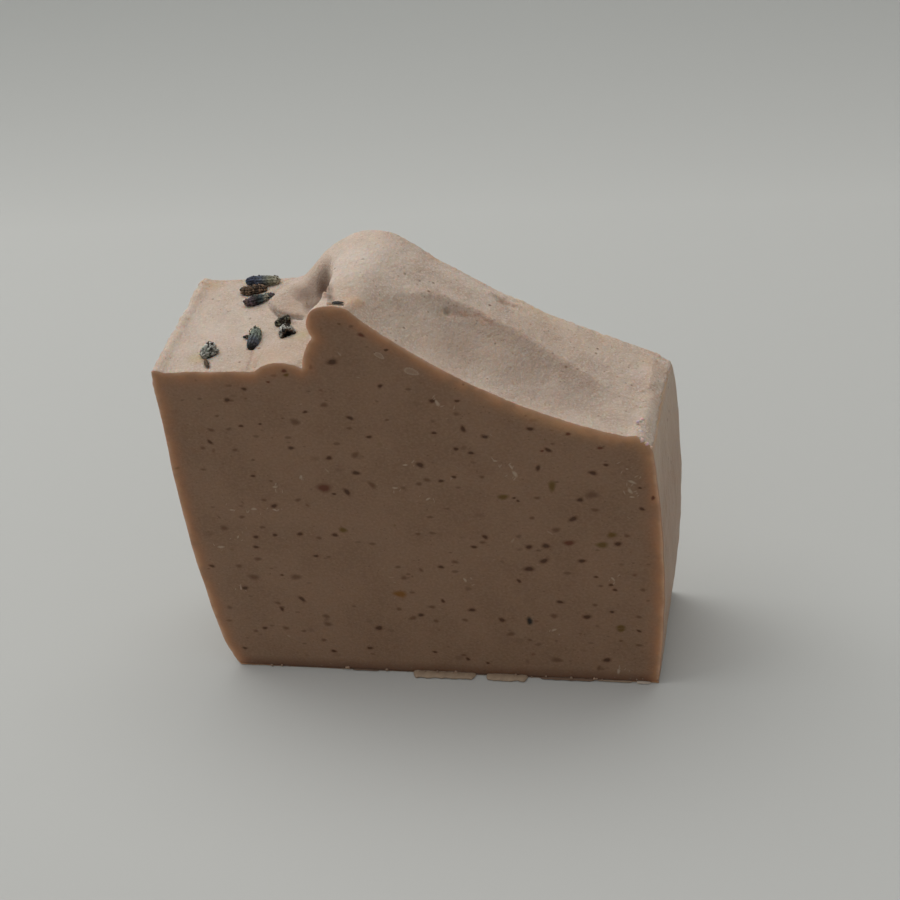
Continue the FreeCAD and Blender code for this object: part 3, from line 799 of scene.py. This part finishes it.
class Clump:
    """Corners, faces and colours gathered for one piece, in mm."""

    def __init__(self):
        self.corners = []
        self.faces = []
        self.colours = []

    def grid(self, points, colours):
        """Add a closed tube given as rows of points round it."""
        first = len(self.corners)
        rows, count = points.shape[:2]
        self.corners += [tuple(p) for p in points.reshape(-1, 3)]
        self.colours += [tuple(c) for c in colours.reshape(-1, 3)]
        self.faces += tube_faces(rows, count, first)
        self.faces.append(tuple(first + n for n in reversed(range(count))))
        self.faces.append(tuple(first + (rows - 1) * count + n for n in range(count)))

    def crumb(self, middle, radius, colour, seed):
        """A lump with an uneven skin."""
        turns = np.linspace(0.0, 2 * math.pi, 9)[:-1]
        rings = []
        for tilt in np.linspace(-1.35, 1.35, 6):
            way = np.stack([np.cos(turns) * math.cos(tilt), np.sin(turns) * math.cos(tilt),
                            np.full(8, math.sin(tilt))], axis=1)
            swell = np.array([1.0 + 0.55 * noise.noise(Vector(w) * 1.6 + Vector((seed, 0, seed)))
                              for w in way])
            rings.append(np.array(middle) + way * swell[:, None] * radius)
        points = np.array(rings)
        self.grid(points, np.broadcast_to(np.array(colour, float), points.shape))

    def hair(self, root, tip):
        """A fine tapered hair."""
        way = Vector(tip) - Vector(root)
        side = way.orthogonal().normalized() * HAIR_WIDTH
        other = way.cross(side).normalized() * HAIR_WIDTH
        first = len(self.corners)
        self.corners += [tuple(Vector(root) + v) for v in (side, other, -side - other)]
        self.corners.append(tuple(tip))
        self.colours += [ASH] * 4
        self.faces += [(first, first + 1, first + 3), (first + 1, first + 2, first + 3),
                       (first + 2, first, first + 3)]

    def build(self, name, material):
        piece = new_object(name, self.corners, self.faces, material)
        colours = np.array(self.colours)
        paint(piece, "tone", np.concatenate([colours, np.ones((len(colours), 1))], axis=1))
        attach(piece, "root")
        return piece


# Dried lavender

NAVY = (0.022, 0.028, 0.052)
SLATE = (0.050, 0.058, 0.075)
MOSS = (0.15, 0.145, 0.095)
SAGE = (0.125, 0.145, 0.115)
TEAL = (0.030, 0.045, 0.050)
PALE_HUSK = (0.33, 0.30, 0.22)
PLUM = (0.070, 0.045, 0.055)
NEAR_BLACK = (0.010, 0.009, 0.008)
BARK = (0.085, 0.050, 0.028)
UMBER = (0.030, 0.018, 0.011)
TAN = (0.27, 0.17, 0.105)
ASH = (0.36, 0.35, 0.31)

# Outlines: the share of the way along, and the radius there
CLOSED = ((0.0, 0.3), (0.05, 0.62), (0.2, 0.93), (0.45, 1.0), (0.72, 0.9), (0.9, 0.66),
          (0.97, 0.42), (1.0, 0.15))
POINTED = ((0.0, 0.4), (0.06, 0.66), (0.25, 0.95), (0.5, 1.0), (0.68, 0.8), (0.82, 0.42),
           (0.92, 0.24), (1.0, 0.05))
CUP = ((0.0, 0.3), (0.08, 0.55), (0.35, 0.85), (0.7, 1.0), (1.0, 0.98))
STICK = ((0.0, 0.5), (0.1, 0.9), (0.5, 1.0), (0.8, 0.7), (1.0, 0.12))

# For each piece: its slot, the way its far end points, its outline, ribs, depth of the furrows,
# roughness, colours from the near end to the far end, crumbs, their colours, and hairs
LAVENDER = {
    "rear_bud": ("navy_bud", (1, 0, 0), CLOSED, 10, 0.13, 0.12,
                 (NAVY, NAVY, SLATE, MOSS, PALE_HUSK), 16, (UMBER, BARK), 10),
    "brown_calyx": ("brown_calyx", (1, 0, 0), CLOSED, 11, 0.3, 0.7,
                    (BARK, BARK, UMBER, BARK), 60, (UMBER, TAN, BARK), 60),
    "purple_bud": ("purple_bud", (1, 0.5, 0), POINTED, 10, 0.22, 0.4,
                   (BARK, PLUM, NEAR_BLACK, TEAL, PALE_HUSK, TAN), 34, (NEAR_BLACK, PLUM, SAGE), 24),
    "centre_bud": ("grey_bud", (0, 1, 0), CLOSED, 10, 0.16, 0.14,
                   (NEAR_BLACK, SLATE, SAGE, SAGE, PALE_HUSK), 20, (UMBER, NEAR_BLACK), 14),
    "upper_floret": ("brown_calyx", (1, 0.3, 0), CUP, 8, 0.3, 0.7,
                     (UMBER, MOSS, UMBER, BARK), 46, (UMBER, NEAR_BLACK, MOSS), 50),
    "open_floret": ("grey_floret", (0.5, -0.9, 0), CUP, 8, 0.25, 0.6,
                    (ASH, ASH, ASH, BARK), 64, (UMBER, ASH, ASH, NEAR_BLACK), 80),
    "left_floret": ("grey_floret", (0.5, 0.9, 0), CUP, 8, 0.25, 0.6,
                    (ASH, SAGE, ASH, ASH), 60, (UMBER, ASH, ASH, NEAR_BLACK), 70),
    "centre_stem_chip": ("dark_stalk", (-1, 0, 0), STICK, 5, 0.1, 0.2,
                         (UMBER, NEAR_BLACK), 2, (UMBER,), 0),
    "left_stem_chip": ("dark_stalk", (0.5, -0.9, 0), STICK, 5, 0.1, 0.15,
                       (BARK, BARK, UMBER), 3, (BARK,), 0),
    "crest_sliver": ("dark_stalk", (1, 0, 0), STICK, 3, 0.1, 0.1,
                     (NEAR_BLACK, NEAR_BLACK, UMBER), 0, (BARK,), 0),
}
HAIR_WIDTH = 0.026


def piece_axes(node, toward):
    """Middle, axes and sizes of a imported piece: along it, across it and up."""
    points = np.array([v.co for v in node.data.vertices]) / MM
    middle = (points.min(axis=0) + points.max(axis=0)) / 2
    along = np.linalg.svd(points - points.mean(axis=0))[2][0]
    along *= math.copysign(1.0, float(along @ np.array(toward, float)))
    side = np.cross((0.0, 0.0, 1.0), along)
    side /= np.linalg.norm(side)
    axes = np.array([along, side, np.cross(along, side)])
    own = (points - middle) @ axes.T
    middle = middle + (own.min(axis=0) + own.max(axis=0)) / 2 @ axes
    return middle, axes, np.ptp(own, axis=0)


def skin_spot(t, a, outline, sizes):
    """The point of a piece's skin at a share of the way along and an angle round it."""
    out = float(np.interp(t, *zip(*outline)))
    return np.array([(t - 0.5) * sizes[0], out * math.cos(a) * sizes[1] / 2,
                     out * math.sin(a) * sizes[2] / 2])


def grow_skin(clump, seed, middle, axes, sizes, outline, ribs, furrow, rough, tints):
    """The ribbed and bumpy skin of a piece, with an open mouth where its outline is a cup."""
    rows, count = (40, 72) if sizes[0] > 2 else (24, 48)
    share = np.linspace(0.0, 1.0, rows)[:, None]
    turn = np.linspace(0.0, 2 * math.pi, count, endpoint=False)[None, :]
    radius = np.interp(share, *zip(*outline)) * np.ones_like(turn)
    crest = np.abs(np.cos(turn * ribs / 2 + 0.5 * np.sin(3 * share + seed))) ** 0.6
    places = [(t * sizes[0] * 3.2, 3.4 * math.cos(a), 3.4 * math.sin(a) + seed)
              for t in share[:, 0] for a in turn[0]]
    bumps = np.array([noise.fractal(Vector(p), 1.0, 2.0, 3) for p in places])
    bumps = bumps.reshape(radius.shape)
    radius = radius * (1.0 - furrow * (1.0 - crest) + rough * 0.5 * bumps)
    bow = 0.05 * sizes[0] * np.sin(math.pi * share) * math.copysign(1.0, seed - 25)
    local = np.stack([(share - 0.5) * sizes[0] * np.ones_like(turn),
                      radius * np.cos(turn) * sizes[1] / 2 + bow,
                      radius * np.sin(turn) * sizes[2] / 2], axis=2)
    tint = np.stack([np.interp(share, np.linspace(0, 1, len(tints)), [c[k] for c in tints])
                     for k in range(3)], axis=2)
    # Painted shade in the furrows between the ribs and painted light on their crests; the tone also
    # follows the bumps
    tint = tint * (0.3 + 1.1 * crest[..., None]) * np.clip(1.0 + 1.5 * bumps[..., None], 0.2, 2.2)
    if outline is CUP:
        inner = local[::-1][: rows // 2].copy()
        deep = np.linspace(0.0, 1.0, len(inner))[:, None, None]
        inner[..., 1:] *= 0.72 - 0.45 * deep
        lips = 0.16 * np.cos(5 * turn + seed)
        local[..., 0] += lips * smoothstep(0.75, 1.0, share)
        inner[..., 0] += lips * (1.0 - deep[..., 0])
        local = np.concatenate([local, inner])
        # The inside of the mouth is painted near black, painted shade inside the cup
        tint = np.concatenate([tint, np.broadcast_to(np.array(NEAR_BLACK), inner.shape)])
    clump.grid(middle + local @ axes, np.clip(tint, 0.0, 1.0))


def make_lavender(name, node, material):
    """One dried bud, calyx or chip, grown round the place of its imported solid."""
    slot, toward, outline, ribs, furrow, rough, tints, crumbs, dust, hairs = LAVENDER[name]
    middle, axes, sizes = piece_axes(node, toward)
    rand = random.Random(name)
    clump = Clump()
    grow_skin(clump, rand.uniform(0, 50), middle, axes, sizes, outline, ribs, furrow, rough, tints)
    for _ in range(crumbs):
        t, a = rand.choice((rand.random(), rand.uniform(0.75, 1.0))), rand.uniform(-0.3, 3.4)
        spot = skin_spot(t, a, outline, sizes) * (1.0, 1.05, 1.0)
        size = rand.uniform(0.07, 0.17) + (0.09 if rough > 0.25 else 0.0)
        clump.crumb(middle + spot @ axes, size, rand.choice(dust), rand.uniform(0, 90))
    for _ in range(hairs):
        t, a = rand.random(), rand.uniform(-0.2, 3.3)
        root = skin_spot(t, a, outline, sizes)
        reach = (rand.uniform(0.02, 0.2), rand.gauss(0, 0.08), rand.uniform(0.0, 0.16))
        tip = root * (1.0, 1.2, 1.2) + np.array(reach)
        clump.hair(middle + root @ axes, middle + tip @ axes)
    piece = clump.build(f"dried_{name}", material)
    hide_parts(name)


# Burrs and crumbs at the foot of the front face

BURR_PALE = (0.35, 0.255, 0.175)
BURR_BROWN = (0.19, 0.12, 0.08)
BURR_WHITE = (0.50, 0.42, 0.34)
# Middle and length in X of each flake along the foot, how far it stands proud, and its colour
BURRS = ((0.6, 11.4, 1.6, BURR_PALE), (11.8, 7.4, 1.5, BURR_PALE), (22.4, 9.5, 0.5, BURR_BROWN),
         (30.6, 6.0, 0.35, BURR_PALE), (35.5, 2.4, 0.5, BURR_WHITE), (-14.0, 5.0, 0.3, BURR_BROWN))
CRUMB_COLOUR = (0.33, 0.22, 0.15)
# A crumb's middle is at least this many of its sizes above the floor
CRUMB_LIFT = 1.25
# Crumbs along the foot: where they start and end in X, how many, and how high they reach
CRUMB_BANDS = ((-38.0, -28.0, 6, 0.3), (-28.0, 24.0, 20, 0.3), (27.0, 38.4, 16, 0.8))

# Crumbs where the poured top breaks off at the right end of the front face: how many, how
# high the bead is there, how steeply it falls to the right, and their colour
RIM_CRUMBS = 64
RIM_HEIGHT = 48.75
RIM_FALL = 0.95
RIM_CRUMB_COLOUR = (0.74, 0.62, 0.52)


def flake(middle, length, proud, face_y):
    """Rows of points of one burr flake that lies along the foot of the face at face_y."""
    rows = []
    steps = max(12, int(length * 5))
    for number in range(steps + 1):
        share = number / steps
        x = middle + (share - 0.5) * length
        edge = min(1.0, 16.0 * min(share, 1 - share)) ** 0.5
        ragged = noise.fractal(Vector((x * 0.9, proud, 3.0)), 1.0, 2.0, 4)
        reach = proud * edge * (0.9 + 0.2 * ragged)
        lift = 0.1 * edge * (1.0 + noise.noise(Vector((x * 0.6, 7.0, 0.0))))
        thick = (0.1 + 0.28 * min(1.0, proud)) * (0.5 + 0.5 * edge) * (1.0 + 0.3 * ragged)
        section = ((-0.4, 0.02), (reach * 0.5, 0.02 + lift * 0.3), (reach, 0.04 + lift),
                   (reach * 0.97, 0.1 + lift + thick * 0.35),
                   (reach * 0.55, thick * 0.85 + lift * 0.5), (-0.4, thick + 0.25))
        rows.append([(x, face_y - out, z) for out, z in section])
    return np.array(rows)


def make_burrs(face_y, material):
    clump = Clump()
    rand = random.Random(21)
    for middle, length, proud, colour in BURRS:
        points = flake(middle, length, proud, face_y)
        tint = np.array(colour) * (1.0 + 0.15 * cloud(points.reshape(-1, 3), 0.8)[:, None])
        clump.grid(points, tint)
    for start, end, count, high in CRUMB_BANDS:
        for _ in range(count):
            size = 0.07 + 0.24 * rand.random() ** 2
            spot = (rand.uniform(start, end), face_y - 0.4 * size,
                    size * CRUMB_LIFT + high * rand.random() ** 3)
            shade = rand.uniform(0.7, 1.25)
            clump.crumb(spot, size, [c * shade for c in CRUMB_COLOUR], rand.uniform(0, 90))
    for _ in range(RIM_CRUMBS):
        x, y = rand.gauss(RIM_FRONT[0] + 0.5, 0.55), face_y + 0.1 + 9.0 * rand.random() ** 3
        size = 0.1 + 0.26 * rand.random() ** 2
        spot = (x, y, RIM_HEIGHT - RIM_FALL * (x - RIM_FRONT[0]))
        tint = [c * rand.uniform(0.75, 1.1) for c in RIM_CRUMB_COLOUR]
        clump.crumb(spot, size, tint, rand.uniform(0, 90))
    piece = clump.build("crumbs_and_burrs", material)
    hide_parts("soap_bar")


# Materials

class Nodes:
    """Short hand for wiring a material."""

    def __init__(self, name):
        self.material = bpy.data.materials.new(name)
        self.material.use_nodes = True
        self.tree = self.material.node_tree
        self.shader = self.tree.nodes["Principled BSDF"]

    def add(self, kind, inputs=(), **settings):
        node = self.tree.nodes.new(kind)
        for key, value in settings.items():
            setattr(node, key, value)
        for key, value in dict(inputs).items():
            self.feed(node.inputs[key], value)
        return node

    def feed(self, socket, value):
        if isinstance(value, bpy.types.NodeSocket):
            self.tree.links.new(value, socket)
        else:
            socket.default_value = value

    def attribute(self, name, output="Fac"):
        return self.add("ShaderNodeAttribute", attribute_name=name).outputs[output]

    def math(self, operation, a, b=0.0, clamp=False):
        node = self.add("ShaderNodeMath", operation=operation, use_clamp=clamp)
        self.feed(node.inputs[0], a)
        self.feed(node.inputs[1], b)
        return node.outputs[0]

    def ramp(self, value, low, high):
        node = self.add("ShaderNodeMapRange", {"Value": value, "From Min": low, "From Max": high})
        return node.outputs["Result"]

    def mix(self, share, a, b):
        node = self.add("ShaderNodeMix", data_type="RGBA")
        self.feed(node.inputs[0], share)
        self.feed(node.inputs[6], a if isinstance(a, bpy.types.NodeSocket) else (*a, 1.0))
        self.feed(node.inputs[7], b if isinstance(b, bpy.types.NodeSocket) else (*b, 1.0))
        return node.outputs[2]

    def over(self, base, share, strength, colour):
        """A colour laid over a base where share is high."""
        return self.mix(self.math("MULTIPLY", share, strength), base, colour)

    def place(self):
        return self.add("ShaderNodeTexCoord").outputs["Object"]

    def stretched(self, stretch):
        inputs = {0: self.place(), 1: stretch}
        return self.add("ShaderNodeVectorMath", inputs, operation="MULTIPLY").outputs[0]

    def grain(self, size, stretch=(1.0, 1.0, 1.0)):
        """Noise with a grain of size mm, finer along a direction that is stretched more."""
        inputs = {"Vector": self.stretched(stretch), "Scale": 1 / (size * MM), "Detail": 3.0}
        return self.add("ShaderNodeTexNoise", inputs).outputs["Fac"]

    def specks(self, size, share, stretch=(1.0, 1.0, 1.0), widest=0.3):
        """Soft dots about size mm apart, where a share of the cells has one, of mixed widths."""
        inputs = {"Vector": self.stretched(stretch), "Scale": 1 / (size * MM)}
        cells = self.add("ShaderNodeTexVoronoi", inputs)
        draw = self.add("ShaderNodeSeparateColor", {"Color": cells.outputs["Color"]}).outputs["Red"]
        width = self.math("MULTIPLY", self.ramp(draw, 1.0 - share, 1.0), widest)
        return self.math("MULTIPLY", self.math("SUBTRACT", width, cells.outputs["Distance"]), 9.0,
                         clamp=True)

    def bump(self, height, distance):
        """Relief with a depth in mm."""
        inputs = {"Height": height, "Distance": distance * MM, "Strength": 1.0}
        return self.add("ShaderNodeBump", inputs).outputs["Normal"]

    def surface(self, **inputs):
        for key, value in inputs.items():
            name = key.replace("_", " ").title().replace("Ior", "IOR")
            self.feed(self.shader.inputs[name], value)
        return self.material


CUT_COLOUR = (0.262, 0.157, 0.095)
CUT_SHADE = (0.236, 0.140, 0.083)
CUT_SPECK = (0.10, 0.045, 0.02)
CUT_STREAK = (0.335, 0.212, 0.136)
CUT_FOOT = (0.165, 0.085, 0.050)
CUT_CRUMB = (0.42, 0.29, 0.20)
# Dots of the cut faces: spacing in mm, share of cells, stretch, strength and colour
CUT_DOTS = (
    (0.55, 0.45, (0.8, 1.0, 1.6), 0.42, CUT_SPECK),
    (0.8, 0.3, (0.9, 1.0, 1.4), 0.22, CUT_CRUMB),
    (1.9, 0.22, (0.7, 1.0, 1.5), 0.55, CUT_SPECK),
)
# The painted glow of light through the cut faces' translucent edges: deep at the left, further
# right, and closer to the edge
GLOW_DEEP = (0.40, 0.170, 0.076)
GLOW_FAR = (0.60, 0.33, 0.165)
GLOW_MIDDLE = (0.54, 0.31, 0.165)
GLOW_EDGE = (0.60, 0.44, 0.31)
# Painted contact shadow along the foot of the cut faces
FOOT_CONTACT_SHADOW = (0.07, 0.04, 0.027)
TOP_COLOUR = (0.525, 0.418, 0.335)
TOP_SHADE = (0.465, 0.358, 0.281)
TOP_PALE = (0.63, 0.52, 0.43)
TOP_WARM = (0.50, 0.345, 0.24)
TOP_SPECK = (0.15, 0.085, 0.05)
WALL_COLOUR = (0.36, 0.238, 0.162)
WALL_SHADE = (0.26, 0.16, 0.10)
WALL_TOP = (0.55, 0.42, 0.32)


def soap_material():
    n = Nodes("soap")
    zone = n.attribute("poured")
    top = n.ramp(zone, 0.0, 0.6)
    wall = n.ramp(zone, 0.0, -0.6)
    rim = n.attribute("rim")

    cut = n.mix(n.ramp(n.grain(7.0), 0.42, 0.6), CUT_COLOUR, CUT_SHADE)
    micro = n.ramp(n.grain(0.4, stretch=(0.8, 1.0, 1.1)), 0.4, 0.7)
    cut = n.over(cut, micro, 0.48, CUT_STREAK)
    cut = n.over(cut, n.specks(3.0, 0.4, (0.8, 1.0, 1.3)), 0.2, CUT_SPECK)
    place = n.add("ShaderNodeSeparateXYZ", {"Vector": n.place()}).outputs
    cut = n.mix(n.ramp(place["Z"], 0.0026, 0.0004), cut, CUT_FOOT)
    # Painted contact shadow in the lowest 0.6 mm of the cut faces
    cut = n.over(cut, n.ramp(place["Z"], 0.0006, 0.0002), 0.7, FOOT_CONTACT_SHADOW)
    for size, share, stretch, strength, colour in CUT_DOTS:
        cut = n.over(cut, n.specks(size, share, stretch), strength, colour)
    # Painted glow of light shining through the translucent edges, fading with the distance from the
    # rim in uneven patches
    patches = n.math("ADD", 0.45, n.math("MULTIPLY", n.ramp(n.grain(2.6), 0.35, 0.6), 0.55))
    deep = n.mix(n.ramp(place["X"], 0.003, 0.026), GLOW_DEEP, GLOW_FAR)
    deep = n.mix(n.ramp(place["Z"], 0.050, 0.042), deep, GLOW_DEEP)
    for width, strength, colour in ((1.75, 0.85, deep), (0.95, 0.68, GLOW_MIDDLE),
                                    (0.34, 0.55, GLOW_EDGE)):
        fall = n.math("POWER", n.math("DIVIDE", rim, width), 2.0)
        glow = n.math("EXPONENT", n.math("MULTIPLY", fall, -1.0))
        cut = n.over(cut, n.math("MULTIPLY", glow, patches), strength, colour)

    poured = n.mix(n.ramp(n.grain(4.5), 0.4, 0.62), TOP_COLOUR, TOP_SHADE)
    poured = n.over(poured, n.ramp(n.grain(0.4), 0.48, 0.7), 0.7, TOP_PALE)
    poured = n.over(poured, n.ramp(n.grain(11.0), 0.5, 0.75), 0.5, TOP_WARM)
    poured = n.over(poured, n.specks(0.7, 0.6), 0.42, TOP_SPECK)
    poured = n.over(poured, n.specks(0.6, 0.4, (1.1, 1.1, 1.1)), 0.35, TOP_PALE)
    poured = n.over(poured, n.specks(2.1, 0.8, widest=0.18), 0.9, TOP_SPECK)

    streaks = n.grain(1.2, stretch=(1.0, 1.0, 0.14))
    moulded = n.over(WALL_COLOUR, n.ramp(streaks, 0.4, 0.7), 0.5, WALL_SHADE)
    moulded = n.over(moulded, n.ramp(place["Z"], 0.034, 0.049), 0.6, WALL_TOP)
    moulded = n.over(moulded, n.specks(1.4, 0.3), 0.5, CUT_SPECK)

    base = n.mix(top, cut, poured)
    base = n.mix(wall, base, moulded)
    # The fleck layer holds the flecks, the stained patches, and the painted shade and highlight of
    # the top
    mark = n.add("ShaderNodeAttribute", attribute_name="fleck")
    colour = n.mix(mark.outputs["Alpha"], base, mark.outputs["Color"])

    uneven = n.math("MULTIPLY", n.grain(1.3), n.math("ADD", top, n.math("MULTIPLY", wall, 0.8)))
    pores = n.math("MULTIPLY", n.specks(0.5, 0.6), top)
    sand = n.math("MULTIPLY", n.grain(0.35), n.math("ADD", 0.4, n.math("MULTIPLY", top, 0.45)))
    relief = n.math("SUBTRACT", n.math("ADD", uneven, sand), pores)
    rough = n.math("ADD", 0.5, n.math("MULTIPLY", top, 0.25))
    return n.surface(base_color=colour, roughness=rough, specular_ior_level=0.2,
                     subsurface_weight=1.0, subsurface_radius=(1.0, 0.5, 0.3),
                     subsurface_scale=0.0007, normal=n.bump(relief, 0.22))


def plant_material():
    n = Nodes("dried_lavender")
    tone = n.attribute("tone", "Color")
    dusty = n.mix(n.ramp(n.grain(0.25), 0.55, 0.8), tone, PALE_HUSK)
    colour = n.mix(0.35, tone, dusty)
    height = n.math("ADD", n.grain(0.12), n.grain(0.35))
    return n.surface(base_color=colour, roughness=0.72, specular_ior_level=0.3,
                     normal=n.bump(height, 0.06))


def burr_material():
    n = Nodes("soap_burrs")
    return n.surface(base_color=n.attribute("tone", "Color"), roughness=0.65,
                     specular_ior_level=0.2, normal=n.bump(n.grain(0.3), 0.08))


# Floor, light and world

FLOOR_COLOUR = (0.505, 0.505, 0.478)
# The backdrop is darker than the floor: painted shade for the light falling off up the sweep
BACKDROP_SHADED_COLOUR = (0.31, 0.315, 0.297)
# The floor in mm: its front edge, where it sweeps up behind, how high and how wide it is, how
# far it lies below the part, and the stretch in which it turns into the backdrop
FLOOR_FRONT = -1500.0
SWEEP_START = 200.0
SWEEP_RADIUS = 350.0
SWEEP_TOP = 1200.0
FLOOR_HALF_WIDTH = 4000.0
FLOOR_SINK = 0.05
BACKDROP_BLEND = 200.0

# The lamp in metres and watts
LAMP_PLACE = (-0.24, 0.42, 0.8)
LAMP_AIM = (0.0, 0.0, 0.03)
LAMP_SIZE = (1.5, 1.3)
LAMP_POWER = 13.0
ROOM_COLOUR = (0.97, 0.98, 1.0, 1.0)
ROOM_STRENGTH = 0.43


def make_floor():
    n = Nodes("pale_floor")
    depth = n.add("ShaderNodeSeparateXYZ", {"Vector": n.place()}).outputs["Y"]
    # Towards the back the floor turns into the darker backdrop colour, painted shade
    far = n.ramp(depth, SWEEP_START * MM, (SWEEP_START + BACKDROP_BLEND) * MM)
    n.surface(base_color=n.mix(far, FLOOR_COLOUR, BACKDROP_SHADED_COLOUR), roughness=0.85)
    profile = [(FLOOR_FRONT, 0.0), (SWEEP_START, 0.0)]
    for step in range(1, 19):
        angle = math.radians(5.0 * step)
        profile.append((SWEEP_START + SWEEP_RADIUS * math.sin(angle),
                        SWEEP_RADIUS * (1 - math.cos(angle))))
    profile.append((SWEEP_START + SWEEP_RADIUS, SWEEP_TOP))
    corners = [(side * FLOOR_HALF_WIDTH, y, z - FLOOR_SINK)
               for side in (-1, 1) for y, z in profile]
    count = len(profile)
    faces = [(i, i + count, i + count + 1, i + 1) for i in range(count - 1)]
    floor = new_object("floor", corners, faces, n.material)


def make_light():
    lamp = bpy.data.lights.new("softbox", "AREA")
    lamp.shape = "RECTANGLE"
    lamp.size, lamp.size_y = LAMP_SIZE
    lamp.energy = LAMP_POWER
    softbox = bpy.data.objects.new("softbox", lamp)
    softbox.location = LAMP_PLACE
    softbox.rotation_mode = "QUATERNION"
    way = Vector(LAMP_AIM) - Vector(LAMP_PLACE)
    softbox.rotation_quaternion = way.to_track_quat("-Z", "Y")
    bpy.context.scene.collection.objects.link(softbox)

    world = bpy.data.worlds.new("room")
    bpy.context.scene.world = world
    world.use_nodes = True
    background = world.node_tree.nodes["Background"]
    background.inputs["Color"].default_value = ROOM_COLOUR
    background.inputs["Strength"].default_value = ROOM_STRENGTH


def main():
    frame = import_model()
    scene = bpy.context.scene
    scene.view_settings.view_transform = "Standard"
    camera = make_camera()
    make_floor()
    make_light()
    solid = Solid(frame["nodes"]["soap_bar"])
    make_bar(solid, camera, soap_material())
    make_burrs(solid.front, burr_material())
    plant = plant_material()
    for name in LAVENDER:
        make_lavender(name, frame["nodes"][name], plant)


main()
